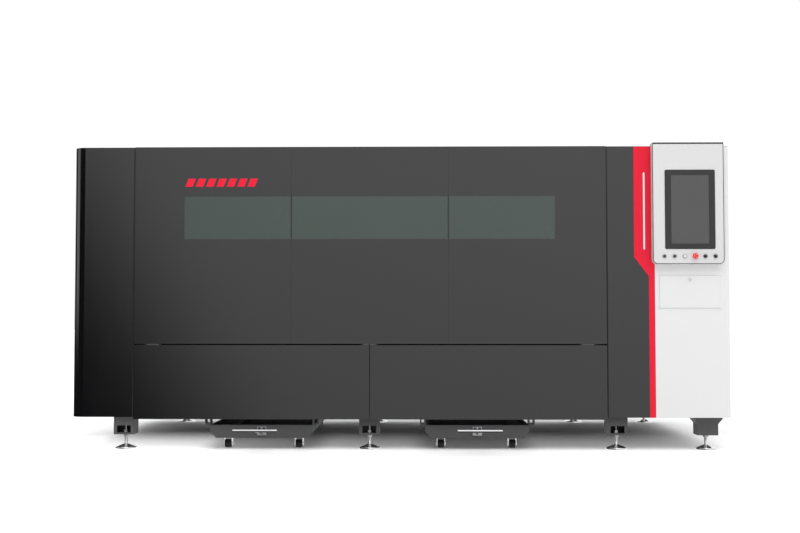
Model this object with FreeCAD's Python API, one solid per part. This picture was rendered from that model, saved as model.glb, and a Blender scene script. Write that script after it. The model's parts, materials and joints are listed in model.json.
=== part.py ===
import FreeCAD, Part
import math
import os

# Laser cutting machine, millimetres. +X runs along its length, +Z is up, and the operator stands on
# the -Y side. Sizes along Y are counted back from the front sheets; save() then moves every piece so
# that the origin is under the middle of the whole machine.

V = FreeCAD.Vector

# ---- overall ----
half_length = 2260.0
top_z = 2081.0
skirt_z = 222.0
sheet = 2.0
seam = 4.0
air = 0.3            # between parts that move past each other
run = 0.05           # radial clearance of a running fit

# ---- legs and levelling feet ----
leg_xs = (-1900.0, -207.0, 1492.0, 2108.0)
leg_side = 140.0
leg_wall = 8.0
leg_bottom_z = 100.0
leg_plate = 12.0
leg_window_w = 95.0
leg_window_h = 50.0
leg_flange_w = 190.0
leg_flange_t = 8.0
leg_flare_h = 45.0
leg_front_y = 40.0
leg_row_pitch = 2302.0
pad_r = 74.0
pad_h = 12.0
cone_r = 66.0
cone_h = 20.0
stud_r = 11.0
stud_top_z = 160.0
nut_af = 34.0
nut_h = 16.0

# ---- welded bed ----
base_h = 120.0
base_wall = 6.0
base_end_gap = 28.0
beam_front_y = 200.0
beam_w = 160.0
beam_h = 200.0
beam_wall = 8.0
beam_top_z = 800.0
drain_r = 15.0

# ---- front frame ----
post_w = 80.0
post_wall = 4.0
post_front_y = 47.0
end_post_w = 120.0

# ---- lifting door ----
door_left = -1823.0
door_right = 1417.0
door_bottom_z = 724.0
door_face_y = -15.0
door_frame_back_y = 30.0
door_bar = 60.0
skin_gap = 2.0
window_left = -1482.0
window_right = 1068.0
window_z0 = 1444.0
window_z1 = 1740.0
window_lap = 8.0
window_t = 6.0
window_rim = 3.0
door_travel = 950.0
guide_inset = 49.0
guide_w = 40.0
guide_t = 13.0
guide_z0 = 740.0
shoe_w = 64.0
shoe_h = 80.0
shoe_zs = (760.0, 1000.0)

# ---- lower flaps ----
flap_split_x = -204.0
flap_bottom_z = 209.0
flap_depth = 25.0
flap_axis_y = -12.0
flap_hinge_drop = 5.0
flap_knuckle_r = 4.7
flap_pin_r = 2.5
flap_knuckle_w = 80.0
flap_centre_knuckle_w = 40.0
flap_hinge_inset = 130.0
hinge_side_knuckle_w = 18.0
hinge_leaf_t = 3.0

# ---- end covers ----
corner_r = 85.0
white_corner_r = 27.0
strip_right_x = 1748.0
strip_wide = 140.0
strip_narrow = 40.0
strip_step_z = 1320.0
strip_step_low_z = 1186.0
partition_x = 1606.0
partition_gap = 18.0
rear_sheet_count = 4
exhaust_x = -1400.0
exhaust_z = 1650.0
exhaust_r = 100.0
exhaust_wall = 3.0
exhaust_len = 100.0
exhaust_flange_r = 130.0
port_z = 420.0
port_xs = (1780.0, 1860.0, 1940.0, 2040.0)
port_rs = (12.0, 12.0, 9.0, 20.0)
port_bore_rs = (8.0, 8.0, 5.0, 12.0)
port_len = 40.0

# ---- cabinet door ----
cab_door_y0 = 700.0
cab_door_y1 = 1500.0
cab_door_z0 = 400.0
cab_door_z1 = 1900.0
cab_door_gap = 3.0
cab_knuckle_r = 5.0
cab_pin_r = 2.5
cab_knuckle_h = 60.0
cab_hinge_inset = 200.0
cab_strap = 24.0

# ---- console ----
console_x0 = 1727.0
console_w = 483.0
console_h = 830.0
console_rise = 17.0
console_out = 60.0
console_r = 33.0
console_cap = 30.0
bezel_inset = 84.0
bezel_drop = 189.0
bezel_w = 337.0
bezel_h = 538.0
bezel_t = 4.0
bezel_r = 9.0
bezel_lap = 14.0
monitor_depth = 38.0
glass_side = 39.0
glass_end = 34.0
glass_t = 2.5
button_rise = 53.0
button_inset = 77.0
button_pitch = 69.0
button_count = 6
ring_r = 14.75
ring_t = 4.0
barrel_r = 11.0
barrel_len = 30.0
plunger_r = 9.0
plunger_out = 8.0
stop_head_r = 20.0
stop_head_h = 14.0
stop_head_gap = 12.0
knob_r = 12.5
knob_h = 5.0
grip_w = 7.0
grip_h = 11.0

# ---- keyboard recess and its flap ----
kb_x0 = 1781.0
kb_x1 = 2193.0
kb_z0 = 975.0
kb_z1 = 1191.0
kb_lap = 8.0
kb_depth = 210.0
kb_flap_t = 2.5
kb_axis_y = -4.0
kb_curl_r = 3.0
kb_pin_r = 1.5
kb_ear_w = 6.0
keyboard_len = 350.0
keyboard_w = 140.0
keyboard_h = 22.0
lock_z = 1164.0
lock_r = 9.0
lock_shaft_r = 5.0
lock_head_h = 8.0

# ---- scrap carts ----
cart_xs = (-947.0, 534.0)
cart_half_w = 356.0
cart_front_y = 40.0
cart_len = 2200.0
cart_z0 = 77.0
cart_z1 = 167.0
cart_bevel_w = 41.0
cart_bevel_h = 45.0
cart_sheet = 3.0
castor_dx = 247.0
castor_inset = 120.0
wheel_r = 30.0
wheel_w = 46.0
axle_r = 5.0
fork_gap = 0.6
fork_plate_t = 6.0
fork_w = 44.0
fork_plate_w = 66.0
fork_plate_len = 60.0
tow_reach = 373.0
tow_bar_len = 294.0
tow_r = 10.0
tow_bar_z = 158.0
tow_root_z = 112.0
tow_plate_w = 64.0
tow_plate_h = 60.0
tow_plate_t = 6.0
tow_bolt_dx = 16.0
tow_bolt_z = 141.0
tow_bolt_r = 6.0
stirrup_dx = 371.0
stirrup_w = 44.0
stirrup_h = 53.0
stirrup_t = 10.0
stirrup_len = 60.0

# ---- slats ----
slat_x0 = -1650.0
slat_pitch = 100.0
slat_count = 29
slat_t = 4.0
slat_z0 = 668.0
slat_h = 100.0
slat_tooth_h = 12.0
slat_tooth_pitch = 56.0
ledge_t = 8.0
ledge_w = 36.0
ledge_back_t = 6.0
ledge_top_z = 790.0

# ---- long rails, racks and gantry ----
rail_w = 34.0
rail_h = 40.0
rack_w = 26.0
rack_h = 26.0
rack_y = 340.0
drive_wall_gap = 2.0
module = 4.0
pinion_teeth = 20
backlash = 0.5
gantry_x = -1640.0
block_dx = 110.0
block_len = 120.0
block_w = 90.0
block_rise = 18.0
block_top_z = 870.0
gantry_plate_z1 = 930.0
gantry_plate_out = 180.0
gantry_plate_in = 100.0
gantry_beam_half = 110.0
gantry_beam_h = 240.0
gantry_wall = 8.0
gantry_end_y = 215.0
drive_dx = -150.0
drive_plate_t = 6.0
drive_shaft_r = 12.0
drive_hole_r = 20.0
gearbox_side = 90.0
gearbox_len = 85.0
motor_r = 40.0
motor_len = 170.0

# ---- cross carriage and head ----
cross_rail_w = 24.0
cross_rail_t = 25.0
cross_rail_inset = 35.0
carriage_y = 480.0
carriage_w = 260.0
carriage_t = 20.0
carriage_gap = 7.0
carriage_block_h = 60.0
lift_rib_w = 16.0
lift_rib_t = 16.0
lift_rib_dy = 50.0
lift_gap = 4.0
lift_plate_t = 16.0
lift_plate_w = 160.0
lift_plate_z0 = 930.0
lift_plate_z1 = 1150.0
lift_travel = 110.0
head_side = 80.0
head_z0 = 1010.0
head_z1 = 1190.0
barrel_head_r = 34.0
barrel_head_z = 935.0
nozzle_top_r = 14.0
nozzle_tip_r = 3.0
nozzle_h = 30.0
fibre_r = 16.0
fibre_h = 70.0

# ---- laser source ----
source_size = (480.0, 800.0, 560.0)
source_y0 = 720.0
source_shift = 124.0
source_wall = 4.0

# ---- worked out ----
base_half_x = half_length - sheet - base_end_gap
row_ys = (leg_front_y + leg_side / 2, leg_front_y + leg_side / 2 + leg_row_pitch)
rear_y = row_ys[1] + leg_side / 2
body_depth = rear_y + sheet
mid_y = (row_ys[0] + row_ys[1]) / 2
base_top_z = skirt_z + base_h
beam_mid_y = beam_front_y + beam_w / 2
header_back_y = sheet + 2 * post_w
front_reach = tow_reach + tow_r - cart_front_y
origin_y = (body_depth + exhaust_len - front_reach) / 2
pinion_r = module * pinion_teeth / 2
rack_pitch_z = beam_top_z + rack_h
pinion_z = rack_pitch_z + pinion_r
door_skin_w = (door_right - door_left) / 3
skin_seams = (door_left + door_skin_w, door_left + 2 * door_skin_w)
guide_xs = (door_left + guide_inset, door_right - guide_inset)
flap_axis_z = door_bottom_z - flap_hinge_drop
flap_top_z = flap_axis_z - flap_hinge_drop
console_x1 = console_x0 + console_w
console_z1 = top_z + console_rise
console_z0 = console_z1 - console_h
bezel_x0 = console_x0 + bezel_inset
bezel_x1 = bezel_x0 + bezel_w
bezel_z1 = console_z1 - bezel_drop
bezel_z0 = bezel_z1 - bezel_h
button_x0 = console_x0 + button_inset
button_z = console_z0 + button_rise
kb_axis_z = kb_z0 - kb_curl_r
console_y = -console_out
button_xs = [button_x0 + button_pitch * i for i in range(button_count)]
lock_x = (kb_x0 + kb_x1) / 2


def box(x0, x1, y0, y1, z0, z1):
    return Part.makeBox(x1 - x0, y1 - y0, z1 - z0, V(x0, y0, z0))


def rod(start, axis, r, length):
    return Part.makeCylinder(r, length, V(*start), V(*axis))


def prism(points, push):
    """A closed outline of 3-D points, pushed along a vector."""
    wire = Part.makePolygon([V(*p) for p in points] + [V(*points[0])])
    return Part.Face(wire).extrude(V(*push))


def plate_xz(points, y0, y1):
    return prism([(x, y0, z) for x, z in points], (0, y1 - y0, 0))


def fuse(shapes):
    return shapes[0].multiFuse(shapes[1:]).removeSplitter() if len(shapes) > 1 else shapes[0]


def cut(shape, tools):
    return shape.cut(Part.makeCompound(tools)) if tools else shape


def tube(x0, x1, y0, y1, z0, z1, axis, wall):
    """A square tube, open at both ends along axis (0, 1 or 2)."""
    low = [x0 + wall, y0 + wall, z0 + wall]
    high = [x1 - wall, y1 - wall, z1 - wall]
    low[axis] = (x0, y0, z0)[axis]
    high[axis] = (x1, y1, z1)[axis]
    hollow = box(low[0], high[0], low[1], high[1], low[2], high[2])
    return box(x0, x1, y0, y1, z0, z1).cut(hollow)


def other_side(shape):
    """The same shape on the rear half of the machine."""
    return shape.mirror(V(0, mid_y, 0), V(0, 1, 0))


def moved(shape, x=0, y=0, z=0):
    return shape.translated(V(x, y, z))


def round_box(x0, x1, y0, y1, z0, z1, r, axis):
    """A box whose four edges along one axis are rounded."""
    solid = box(x0, x1, y0, y1, z0, z1)
    along = [e for e in solid.Edges if abs(abs(e.tangentAt(e.FirstParameter)[axis]) - 1) < 1e-6]
    return solid.makeFillet(r, along)


def save(node, shapes):
    """Writes one node, moved from the front sheet's Y to the machine's origin."""
    solids = []
    for shape in shapes if isinstance(shapes, list) else [shapes]:
        solids += shape.Solids
    placed = [s.translated(V(0, -origin_y, 0)) for s in solids]
    whole = placed[0] if len(placed) == 1 else Part.makeCompound(placed)
    whole.exportStep("parts/%s.step" % node)


def leg_flare(x, y):
    """The flange round a leg's top, with its sides drawn in to the leg below."""
    f, h = leg_flange_w / 2, leg_side / 2
    z0, z1 = skirt_z - leg_flare_h, skirt_z - leg_flange_t
    half = [(x - h, z0), (x + h, z0), (x + f, z1), (x + f, skirt_z), (x - f, skirt_z), (x - f, z1)]
    across = plate_xz(half, y - f, y + f)
    along = across.rotated(V(x, y, 0), V(0, 0, 1), 90)
    return across.common(along).cut(box(x - h, x + h, y - h, y + h, z0, skirt_z))


def leg(x, y, last):
    """A square leg with a plate under it; all but the cabinet's have a window at the stud."""
    h = leg_side / 2
    body = tube(x - h, x + h, y - h, y + h, leg_bottom_z + leg_plate, skirt_z, 2, leg_wall)
    plate = box(x - h, x + h, y - h, y + h, leg_bottom_z, leg_bottom_z + leg_plate)
    parts = [body, plate]
    cuts = [rod((x, y, leg_bottom_z - 1), (0, 0, 1), stud_r + run, leg_plate + 2)]
    if last:
        parts.append(leg_flare(x, y))
    else:
        w = leg_window_w / 2
        z0 = leg_bottom_z + leg_plate
        cuts.append(box(x - w, x + w, y - h - 1, y + h + 1, z0, z0 + leg_window_h))
    return cut(fuse(parts), cuts)


def hex_nut(x, y, z):
    r = nut_af / math.sqrt(3)
    pts = [(x + r * math.cos(math.radians(60 * i)), y + r * math.sin(math.radians(60 * i)), z)
           for i in range(6)]
    return prism(pts, (0, 0, nut_h)).cut(rod((x, y, z - 1), (0, 0, 1), stud_r + run, nut_h + 2))


def make_feet():
    legs, pads, studs, nuts = [], [], [], []
    for y in row_ys:
        for x in leg_xs:
            legs.append(leg(x, y, x == leg_xs[-1]))
            pad = rod((x, y, 0), (0, 0, 1), pad_r, pad_h)
            pads.append(pad.makeFillet(3, [e for e in pad.Edges if len(e.Vertexes) == 1]))
            cone = Part.makeCone(cone_r, stud_r + 4, cone_h, V(x, y, pad_h))
            shank = rod((x, y, pad_h), (0, 0, 1), stud_r, stud_top_z - pad_h)
            studs.append(cone.fuse(shank))
            nuts.append(hex_nut(x, y, leg_bottom_z - nut_h))
            nuts.append(hex_nut(x, y, leg_bottom_z + leg_plate))
    save("legs", legs)
    save("foot_pads", pads)
    save("foot_studs", studs)
    save("foot_nuts", nuts)


def make_bed():
    """Base ring on the legs, cross tubes, uprights, and the two long beams, as one weldment."""
    h = leg_side / 2
    parts = []
    holes = []
    for y in row_ys:
        parts.append(tube(-base_half_x, base_half_x, y - h, y + h, skirt_z, base_top_z, 0, base_wall))
    for x in leg_xs:
        parts.append(tube(x - h, x + h, row_ys[0] + h, row_ys[1] - h, skirt_z, base_top_z, 1, base_wall))
        holes.append(rod((x, mid_y, skirt_z - 1), (0, 0, 1), drain_r, base_wall + 2))
    z0 = beam_top_z - beam_h
    for x in leg_xs[:3]:
        up = tube(x - h, x + h, beam_front_y, beam_front_y + beam_w, base_top_z, z0, 2, base_wall)
        hole = rod((x - h - 1, beam_mid_y, (base_top_z + z0) / 2), (1, 0, 0), drain_r, base_wall + 2)
        parts += [up, other_side(up)]
        holes += [hole, other_side(hole)]
    beam = tube(leg_xs[0] - h, leg_xs[2] + h, beam_front_y, beam_front_y + beam_w, z0, beam_top_z,
                0, beam_wall)
    parts += [beam, other_side(beam)]
    save("bed_frame", cut(fuse(parts), holes))


def make_front_frame():
    """Posts, header and sill that carry the lifting door and the flaps."""
    y0, y1 = post_front_y, post_front_y + post_w
    head_z0 = top_z - sheet - post_w
    sill_z1 = flap_axis_z - hinge_leaf_t / 2
    near = [sheet, sheet + post_w]
    left_x = door_left - seam
    right_x = door_right + seam
    parts = []
    for x in guide_xs:
        h = post_w / 2
        parts.append(tube(x - h, x + h, y0, y1, base_top_z, head_z0, 2, post_wall))
    last_x0 = strip_right_x - end_post_w + post_w / 3
    ends = ((left_x - post_w, left_x), (right_x, right_x + post_w), (last_x0, last_x0 + end_post_w))
    for x0, x1 in ends:
        parts.append(tube(x0, x1, near[0], near[1], base_top_z, top_z - sheet, 2, post_wall))
    parts.append(tube(ends[0][0], ends[2][1], near[1], header_back_y, head_z0, top_z - sheet, 0,
                      post_wall))
    sill_x0, sill_x1 = guide_xs[0] + post_w / 2, guide_xs[1] - post_w / 2
    parts.append(tube(sill_x0, sill_x1, y0, y1, sill_z1 - post_w, sill_z1, 0, post_wall))
    holes = []
    for x in guide_xs:
        holes.append(rod((x, y1 - post_wall - 1, base_top_z + 60), (0, 1, 0), drain_r, post_wall + 2))
    holes.append(rod((0, y1 - post_wall - 1, sill_z1 - post_w / 2), (0, 1, 0), drain_r, post_wall + 2))
    save("front_frame", cut(fuse(parts), holes))


def make_left_panel():
    """One sheet: front, rounded corner and the whole left side."""
    def outline(inset):
        x0 = -half_length + inset
        r = corner_r - inset
        cx, cy = -half_length + corner_r, corner_r
        bend = Part.Arc(V(cx, inset, skirt_z), V(cx - r * math.sqrt(0.5), cy - r * math.sqrt(0.5), skirt_z),
                        V(x0, cy, skirt_z))
        return cx, x0, bend
    cx, x0, outer = outline(0)
    _, x1, inner = outline(sheet)
    end_x = door_left - seam
    edges = [
        Part.makeLine(V(end_x, 0, skirt_z), V(cx, 0, skirt_z)),
        outer.toShape(),
        Part.makeLine(V(x0, corner_r, skirt_z), V(x0, rear_y, skirt_z)),
        Part.makeLine(V(x0, rear_y, skirt_z), V(x1, rear_y, skirt_z)),
        Part.makeLine(V(x1, rear_y, skirt_z), V(x1, corner_r, skirt_z)),
        inner.toShape(),
        Part.makeLine(V(cx, sheet, skirt_z), V(end_x, sheet, skirt_z)),
        Part.makeLine(V(end_x, sheet, skirt_z), V(end_x, 0, skirt_z)),
    ]
    face = Part.Face(Part.Wire(Part.__sortEdges__(edges)))
    save("left_panel", face.extrude(V(0, 0, top_z - sheet - skirt_z)))


def make_right_panels():
    """The dark front sheet and the red strip that steps down to a narrow band."""
    top = top_z - sheet
    wide_x = strip_right_x - strip_wide
    slim_x = strip_right_x - strip_narrow
    edge = [(slim_x, skirt_z), (slim_x, strip_step_low_z), (wide_x, strip_step_z), (wide_x, top)]
    dark = [(door_right + seam, skirt_z)] + [(x - 1, z) for x, z in edge] + [(door_right + seam, top)]
    save("front_panel_right", plate_xz(dark, 0, sheet))
    red = edge + [(strip_right_x, top), (strip_right_x, skirt_z)]
    save("trim_strip", plate_xz(red, 0, sheet))


def make_cabinet():
    """White sheet round the right end, with the keyboard opening and the side door's opening."""
    x0 = strip_right_x + 1
    outer = box(x0, half_length, 0, rear_y + corner_r, skirt_z, top_z - sheet)
    corner = [e for e in outer.Edges
              if all(abs(v.X - half_length) < 1e-6 and abs(v.Y) < 1e-6 for v in e.Vertexes)]
    outer = outer.makeFillet(white_corner_r, corner)
    inner = box(x0 - 1, half_length - sheet, sheet, rear_y + 2 * corner_r, skirt_z - 1, top_z)
    corner = [e for e in inner.Edges
              if all(abs(v.X - half_length + sheet) < 1e-6 and abs(v.Y - sheet) < 1e-6
                     for v in e.Vertexes)]
    inner = inner.makeFillet(white_corner_r - sheet, corner)
    shell = outer.cut(inner).cut(box(0, half_length + 1, rear_y, rear_y + 200, 0, top_z))
    side = half_length - sheet - 1
    shell = cut(shell, [
        box(kb_x0 + kb_lap, kb_x1 - kb_lap, -1, sheet + 1, kb_z0 + kb_lap, kb_z1 - kb_lap),
        box(side, half_length + 1, cab_door_y0, cab_door_y1, cab_door_z0, cab_door_z1),
    ])
    parts = [shell]
    e = kb_curl_r + 0.6
    for x in (kb_x0 - kb_ear_w - air, kb_x1 + air):
        parts.append(box(x, x + kb_ear_w, kb_axis_y - e, 0, kb_axis_z - e, kb_axis_z + e))
    parts.append(rod((kb_x0 - kb_ear_w, kb_axis_y, kb_axis_z), (1, 0, 0), kb_pin_r,
                     kb_x1 - kb_x0 + 2 * kb_ear_w))
    for z in cabinet_hinge_zs():
        for low in (z, z + cab_knuckle_h * 2 + 2 * air):
            ax, ay = cabinet_axis()
            parts.append(rod((ax, ay, low), (0, 0, 1), cab_knuckle_r, cab_knuckle_h))
            parts.append(box(half_length, ax, ay, cab_door_y1 + cab_strap, low, low + cab_knuckle_h))
        parts.append(rod((ax, ay, z), (0, 0, 1), cab_pin_r, cab_knuckle_h * 3 + 2 * air))
    save("cabinet_shell", fuse(parts))


def cabinet_axis():
    return half_length + cab_knuckle_r - sheet, cab_door_y1 - cab_knuckle_r - cab_door_gap / 2


def cabinet_hinge_zs():
    return (cab_door_z0 + cab_hinge_inset,
            cab_door_z1 - cab_hinge_inset - 3 * cab_knuckle_h)


def make_cabinet_door():
    g = cab_door_gap
    ax, ay = cabinet_axis()
    door = box(half_length - sheet, half_length, cab_door_y0 + g, ay - cab_knuckle_r - 2 * g,
               cab_door_z0 + g, cab_door_z1 - g)
    parts = [door]
    holes = []
    for z in cabinet_hinge_zs():
        low = z + cab_knuckle_h + air
        parts.append(rod((ax, ay, low), (0, 0, 1), cab_knuckle_r, cab_knuckle_h))
        parts.append(box(half_length - sheet, half_length, ay - 2 * cab_strap, ay, low,
                         low + cab_knuckle_h))
        holes.append(rod((ax, ay, low - 1), (0, 0, 1), cab_pin_r + run, cab_knuckle_h + 2))
    save("cabinet_door", cut(fuse(parts), holes))


def make_walls():
    """Roof sheets, rear sheets, and the wall between the cutting room and the cabinet."""
    roof = box(-half_length, half_length, 0, body_depth, top_z - sheet, top_z)
    corner = [e for e in roof.Edges
              if all(abs(v.X + half_length) < 1e-6 and abs(v.Y) < 1e-6 for v in e.Vertexes)]
    roof = roof.makeFillet(corner_r, corner)
    corner = [e for e in roof.Edges
              if all(abs(v.X - half_length) < 1e-6 and abs(v.Y) < 1e-6 for v in e.Vertexes)]
    roof = roof.makeFillet(white_corner_r, corner)
    left, right = door_left - seam, door_right + seam
    slots = [box(left, right, -1, door_frame_back_y + seam, top_z - 9, top_z + 9)]
    step = (partition_x + half_length) / 3
    for x in (-half_length + step, -half_length + 2 * step, partition_x):
        slots.append(box(x - 1, x + 1, -9, body_depth + 9, top_z - 9, top_z + 9))
    save("roof_panels", cut(roof, slots))
    sheets = []
    step = (partition_x + half_length) / rear_sheet_count
    xs = [-half_length + step * i for i in range(rear_sheet_count)] + [partition_x, half_length]
    for x0, x1 in zip(xs, xs[1:]):
        sheets.append(box(x0 + 1, x1 - 1, rear_y, body_depth, skirt_z, top_z - sheet))
    vent = rod((exhaust_x, rear_y - 1, exhaust_z), (0, 1, 0), exhaust_r - exhaust_wall, sheet + 2)
    ports = [rod((x, rear_y - 1, port_z), (0, 1, 0), r, sheet + 2)
             for x, r in zip(port_xs, port_bore_rs)]
    sheets = [cut(s, [vent] + ports) for s in sheets]
    wall_y0 = header_back_y + partition_gap
    sheets.append(box(partition_x, partition_x + sheet, wall_y0, rear_y, base_top_z, top_z - sheet))
    save("wall_panels", sheets)


def make_ports():
    flange = rod((exhaust_x, body_depth, exhaust_z), (0, 1, 0), exhaust_flange_r, exhaust_wall)
    pipe = rod((exhaust_x, body_depth, exhaust_z), (0, 1, 0), exhaust_r, exhaust_len)
    bore = rod((exhaust_x, body_depth - 1, exhaust_z), (0, 1, 0), exhaust_r - exhaust_wall,
               exhaust_len + 2)
    save("exhaust_spigot", flange.fuse(pipe).cut(bore))
    solids = []
    for x, r, bore_r in zip(port_xs, port_rs, port_bore_rs):
        base = rod((x, body_depth, port_z), (0, 1, 0), r + 8, 8)
        stem = rod((x, body_depth, port_z), (0, 1, 0), r, port_len)
        hole = rod((x, body_depth - 1, port_z), (0, 1, 0), bore_r, port_len + 2)
        solids.append(base.fuse(stem).cut(hole))
    save("service_ports", solids)


def make_door():
    """Lifting front door: ladder frame with guide shoes, three skins and three panes."""
    y0, y1 = door_face_y + sheet, door_frame_back_y
    b = door_bar
    parts = []
    for z in (door_bottom_z, window_z0 - b, window_z1, top_z - b):
        parts.append(box(door_left, door_right, y0, y1, z, z + b))
    for x in (door_left, skin_seams[0] - b / 2, skin_seams[1] - b / 2, door_right - b):
        parts.append(box(x, x + b, y0, y1, door_bottom_z, top_z))
    lap = window_lap
    wx0, wx1 = window_left - lap, window_right + lap
    rebate = box(wx0, wx1, y0, y0 + window_t, window_z0 - lap, window_z1 + lap)
    frame = fuse(parts).cut(rebate)
    shoes = []
    g = guide_w / 2 + air
    gy0 = post_front_y - guide_t
    for x in guide_xs:
        for z in shoe_zs:
            shoe = box(x - shoe_w / 2, x + shoe_w / 2, y1 - b / 2, post_front_y - 1, z, z + shoe_h)
            shoes.append(shoe.cut(box(x - g, x + g, gy0 - air, post_front_y, z - 1, z + shoe_h + 1)))
    save("door_frame", fuse([frame] + shoes))
    skins, panes = [], []
    xs = [door_left, skin_seams[0], skin_seams[1], door_right]
    for i in range(3):
        x0 = xs[i] + (skin_gap / 2 if i else 0)
        x1 = xs[i + 1] - (skin_gap / 2 if i < 2 else 0)
        hole_x0 = max(x0 + window_rim, window_left)
        hole_x1 = min(x1 - window_rim, window_right)
        skin = box(x0, x1, door_face_y, y0, door_bottom_z, top_z)
        skins.append(skin.cut(box(hole_x0, hole_x1, door_face_y - 1, y0 + 1, window_z0, window_z1)))
        panes.append(box(max(x0, wx0), min(x1, wx1), y0, y0 + window_t, window_z0 - lap,
                         window_z1 + lap))
    save("door_skins", skins)
    save("door_windows", panes)
    guides = [box(x - guide_w / 2, x + guide_w / 2, gy0, post_front_y, guide_z0, top_z - sheet - post_w)
              for x in guide_xs]
    save("door_guides", guides)


def flap_knuckles(x0, x1):
    """Where the hinge knuckles of a flap lie along its top edge."""
    side, mid = flap_knuckle_w, flap_centre_knuckle_w
    if x0 == door_left:
        outer = x0 + flap_hinge_inset - side / 2
        return ((outer, outer + side), (x1 - mid, x1))
    outer = x1 - flap_hinge_inset - side / 2
    return ((x0, x0 + mid), (outer, outer + side))


def make_flaps():
    """Two lower flaps, each a shallow sheet pan hinged along its top edge."""
    ay, az, r = flap_axis_y, flap_axis_z, flap_knuckle_r
    y0, y1 = door_face_y, door_face_y + flap_depth
    half = seam / 2
    hinges = []
    halves = (("flap_left", door_left, flap_split_x - half), ("flap_right", flap_split_x + half, door_right))
    for name, x0, x1 in halves:
        pan = box(x0, x1, y0, y1, flap_bottom_z, flap_top_z)
        pan = pan.cut(box(x0 + sheet, x1 - sheet, y0 + sheet, y1 + 1, flap_bottom_z + sheet,
                          flap_top_z - sheet))
        parts, holes = [pan], []
        for k0, k1 in flap_knuckles(x0, x1):
            parts.append(rod((k0, ay, az), (1, 0, 0), r, k1 - k0))
            parts.append(box(k0, k1, ay - 2, ay + 2, flap_top_z - sheet, az - flap_pin_r - run))
            holes.append(rod((k0 - 1, ay, az), (1, 0, 0), flap_pin_r + run, k1 - k0 + 2))
            hinges.append(fixed_hinge(k0, k1, x1 == flap_split_x - half and k1 == x1,
                                      x0 == flap_split_x + half and k0 == x0))
        save(name, cut(fuse(parts), holes))
    save("flap_hinges", hinges)


def fixed_hinge(k0, k1, skip_right, skip_left):
    """The fixed half of one hinge: side knuckles, the pin, and a leaf on the sill."""
    ay, az, r = flap_axis_y, flap_axis_z, flap_knuckle_r
    w = hinge_side_knuckle_w
    h = hinge_leaf_t / 2
    arm_y1 = ay + r + 1
    spans = []
    if not skip_left:
        spans.append((k0 - air - w, k0 - air))
    if not skip_right:
        spans.append((k1 + air, k1 + air + w))
    x0 = min([s[0] for s in spans] + [k0])
    x1 = max([s[1] for s in spans] + [k1])
    seat_x0 = max(k0, guide_xs[0] + post_w / 2 + 1)
    seat_x1 = min(k1, guide_xs[1] - post_w / 2 - 1)
    parts = [box(x0, x1, arm_y1, post_front_y - 1, az - h, az + h),
             box(seat_x0, seat_x1, post_front_y - 1, post_front_y + post_w / 2, az - h, az + h)]
    for s0, s1 in spans:
        parts.append(rod((s0, ay, az), (1, 0, 0), r, s1 - s0))
        parts.append(box(s0, s1, ay, arm_y1, az - h, az + h))
    parts.append(rod((x0, ay, az), (1, 0, 0), flap_pin_r, x1 - x0))
    return fuse(parts)


def make_console():
    """Console box on the front, its screen and the row of switch rings."""
    x0, x1, z0, z1 = console_x0, console_x1, console_z0, console_z1

    def block(inset, y0, y1):
        solid = box(x0 + inset, x1 - inset, y0, y1, z0 + inset, z1 - inset)
        low = [e for e in solid.Edges
               if all(abs(v.Z - z0 - inset) < 1e-6 for v in e.Vertexes)
               and abs(e.Vertexes[0].Y - e.Vertexes[1].Y) > 1]
        return solid.makeFillet(console_r - inset, low)
    shell = block(0, console_y, 0).cut(block(sheet, console_y + sheet, 10))
    cap = box(x0, x1, 0, console_cap, top_z, z1)
    lap = bezel_lap
    cuts = [box(bezel_x0 + lap, bezel_x1 - lap, console_y - 1, console_y + sheet + 1, bezel_z0 + lap,
                bezel_z1 - lap)]
    for x in button_xs:
        cuts.append(rod((x, console_y - 1, button_z), (0, 1, 0), barrel_r, sheet + 2))
    save("console_box", cut(fuse([shell, cap]), cuts))
    face = round_box(bezel_x0, bezel_x1, console_y - bezel_t, console_y, bezel_z0, bezel_z1, bezel_r, 1)
    body = box(bezel_x0 + lap, bezel_x1 - lap, console_y, console_y + monitor_depth, bezel_z0 + lap,
               bezel_z1 - lap)
    gx0, gx1 = bezel_x0 + glass_side, bezel_x1 - glass_side
    gz0, gz1 = bezel_z0 + glass_end, bezel_z1 - glass_end
    seat = box(gx0, gx1, console_y - bezel_t - 1, console_y, gz0, gz1)
    save("screen_bezel", fuse([face, body]).cut(seat))
    save("screen_glass", box(gx0, gx1, console_y - glass_t, console_y, gz0, gz1))
    rings = []
    for x in button_xs:
        ring = rod((x, console_y - ring_t, button_z), (0, 1, 0), ring_r, ring_t)
        ring = ring.makeFillet(1.2, [e for e in ring.Edges
                                     if abs(e.CenterOfMass.y - console_y + ring_t) < 0.01
                                     and len(e.Vertexes) == 1])
        barrel = rod((x, console_y, button_z), (0, 1, 0), barrel_r, barrel_len)
        bore = rod((x, console_y - ring_t - 1, button_z), (0, 1, 0), plunger_r + air,
                   ring_t + barrel_len + 2)
        rings.append(ring.fuse(barrel).cut(bore))
    save("button_rings", rings)


def plunger(x, out):
    """The moving shank of a switch, standing out of its ring."""
    front = console_y - ring_t - out
    return rod((x, front, button_z), (0, 1, 0), plunger_r, out + ring_t + barrel_len - 6)


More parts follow.
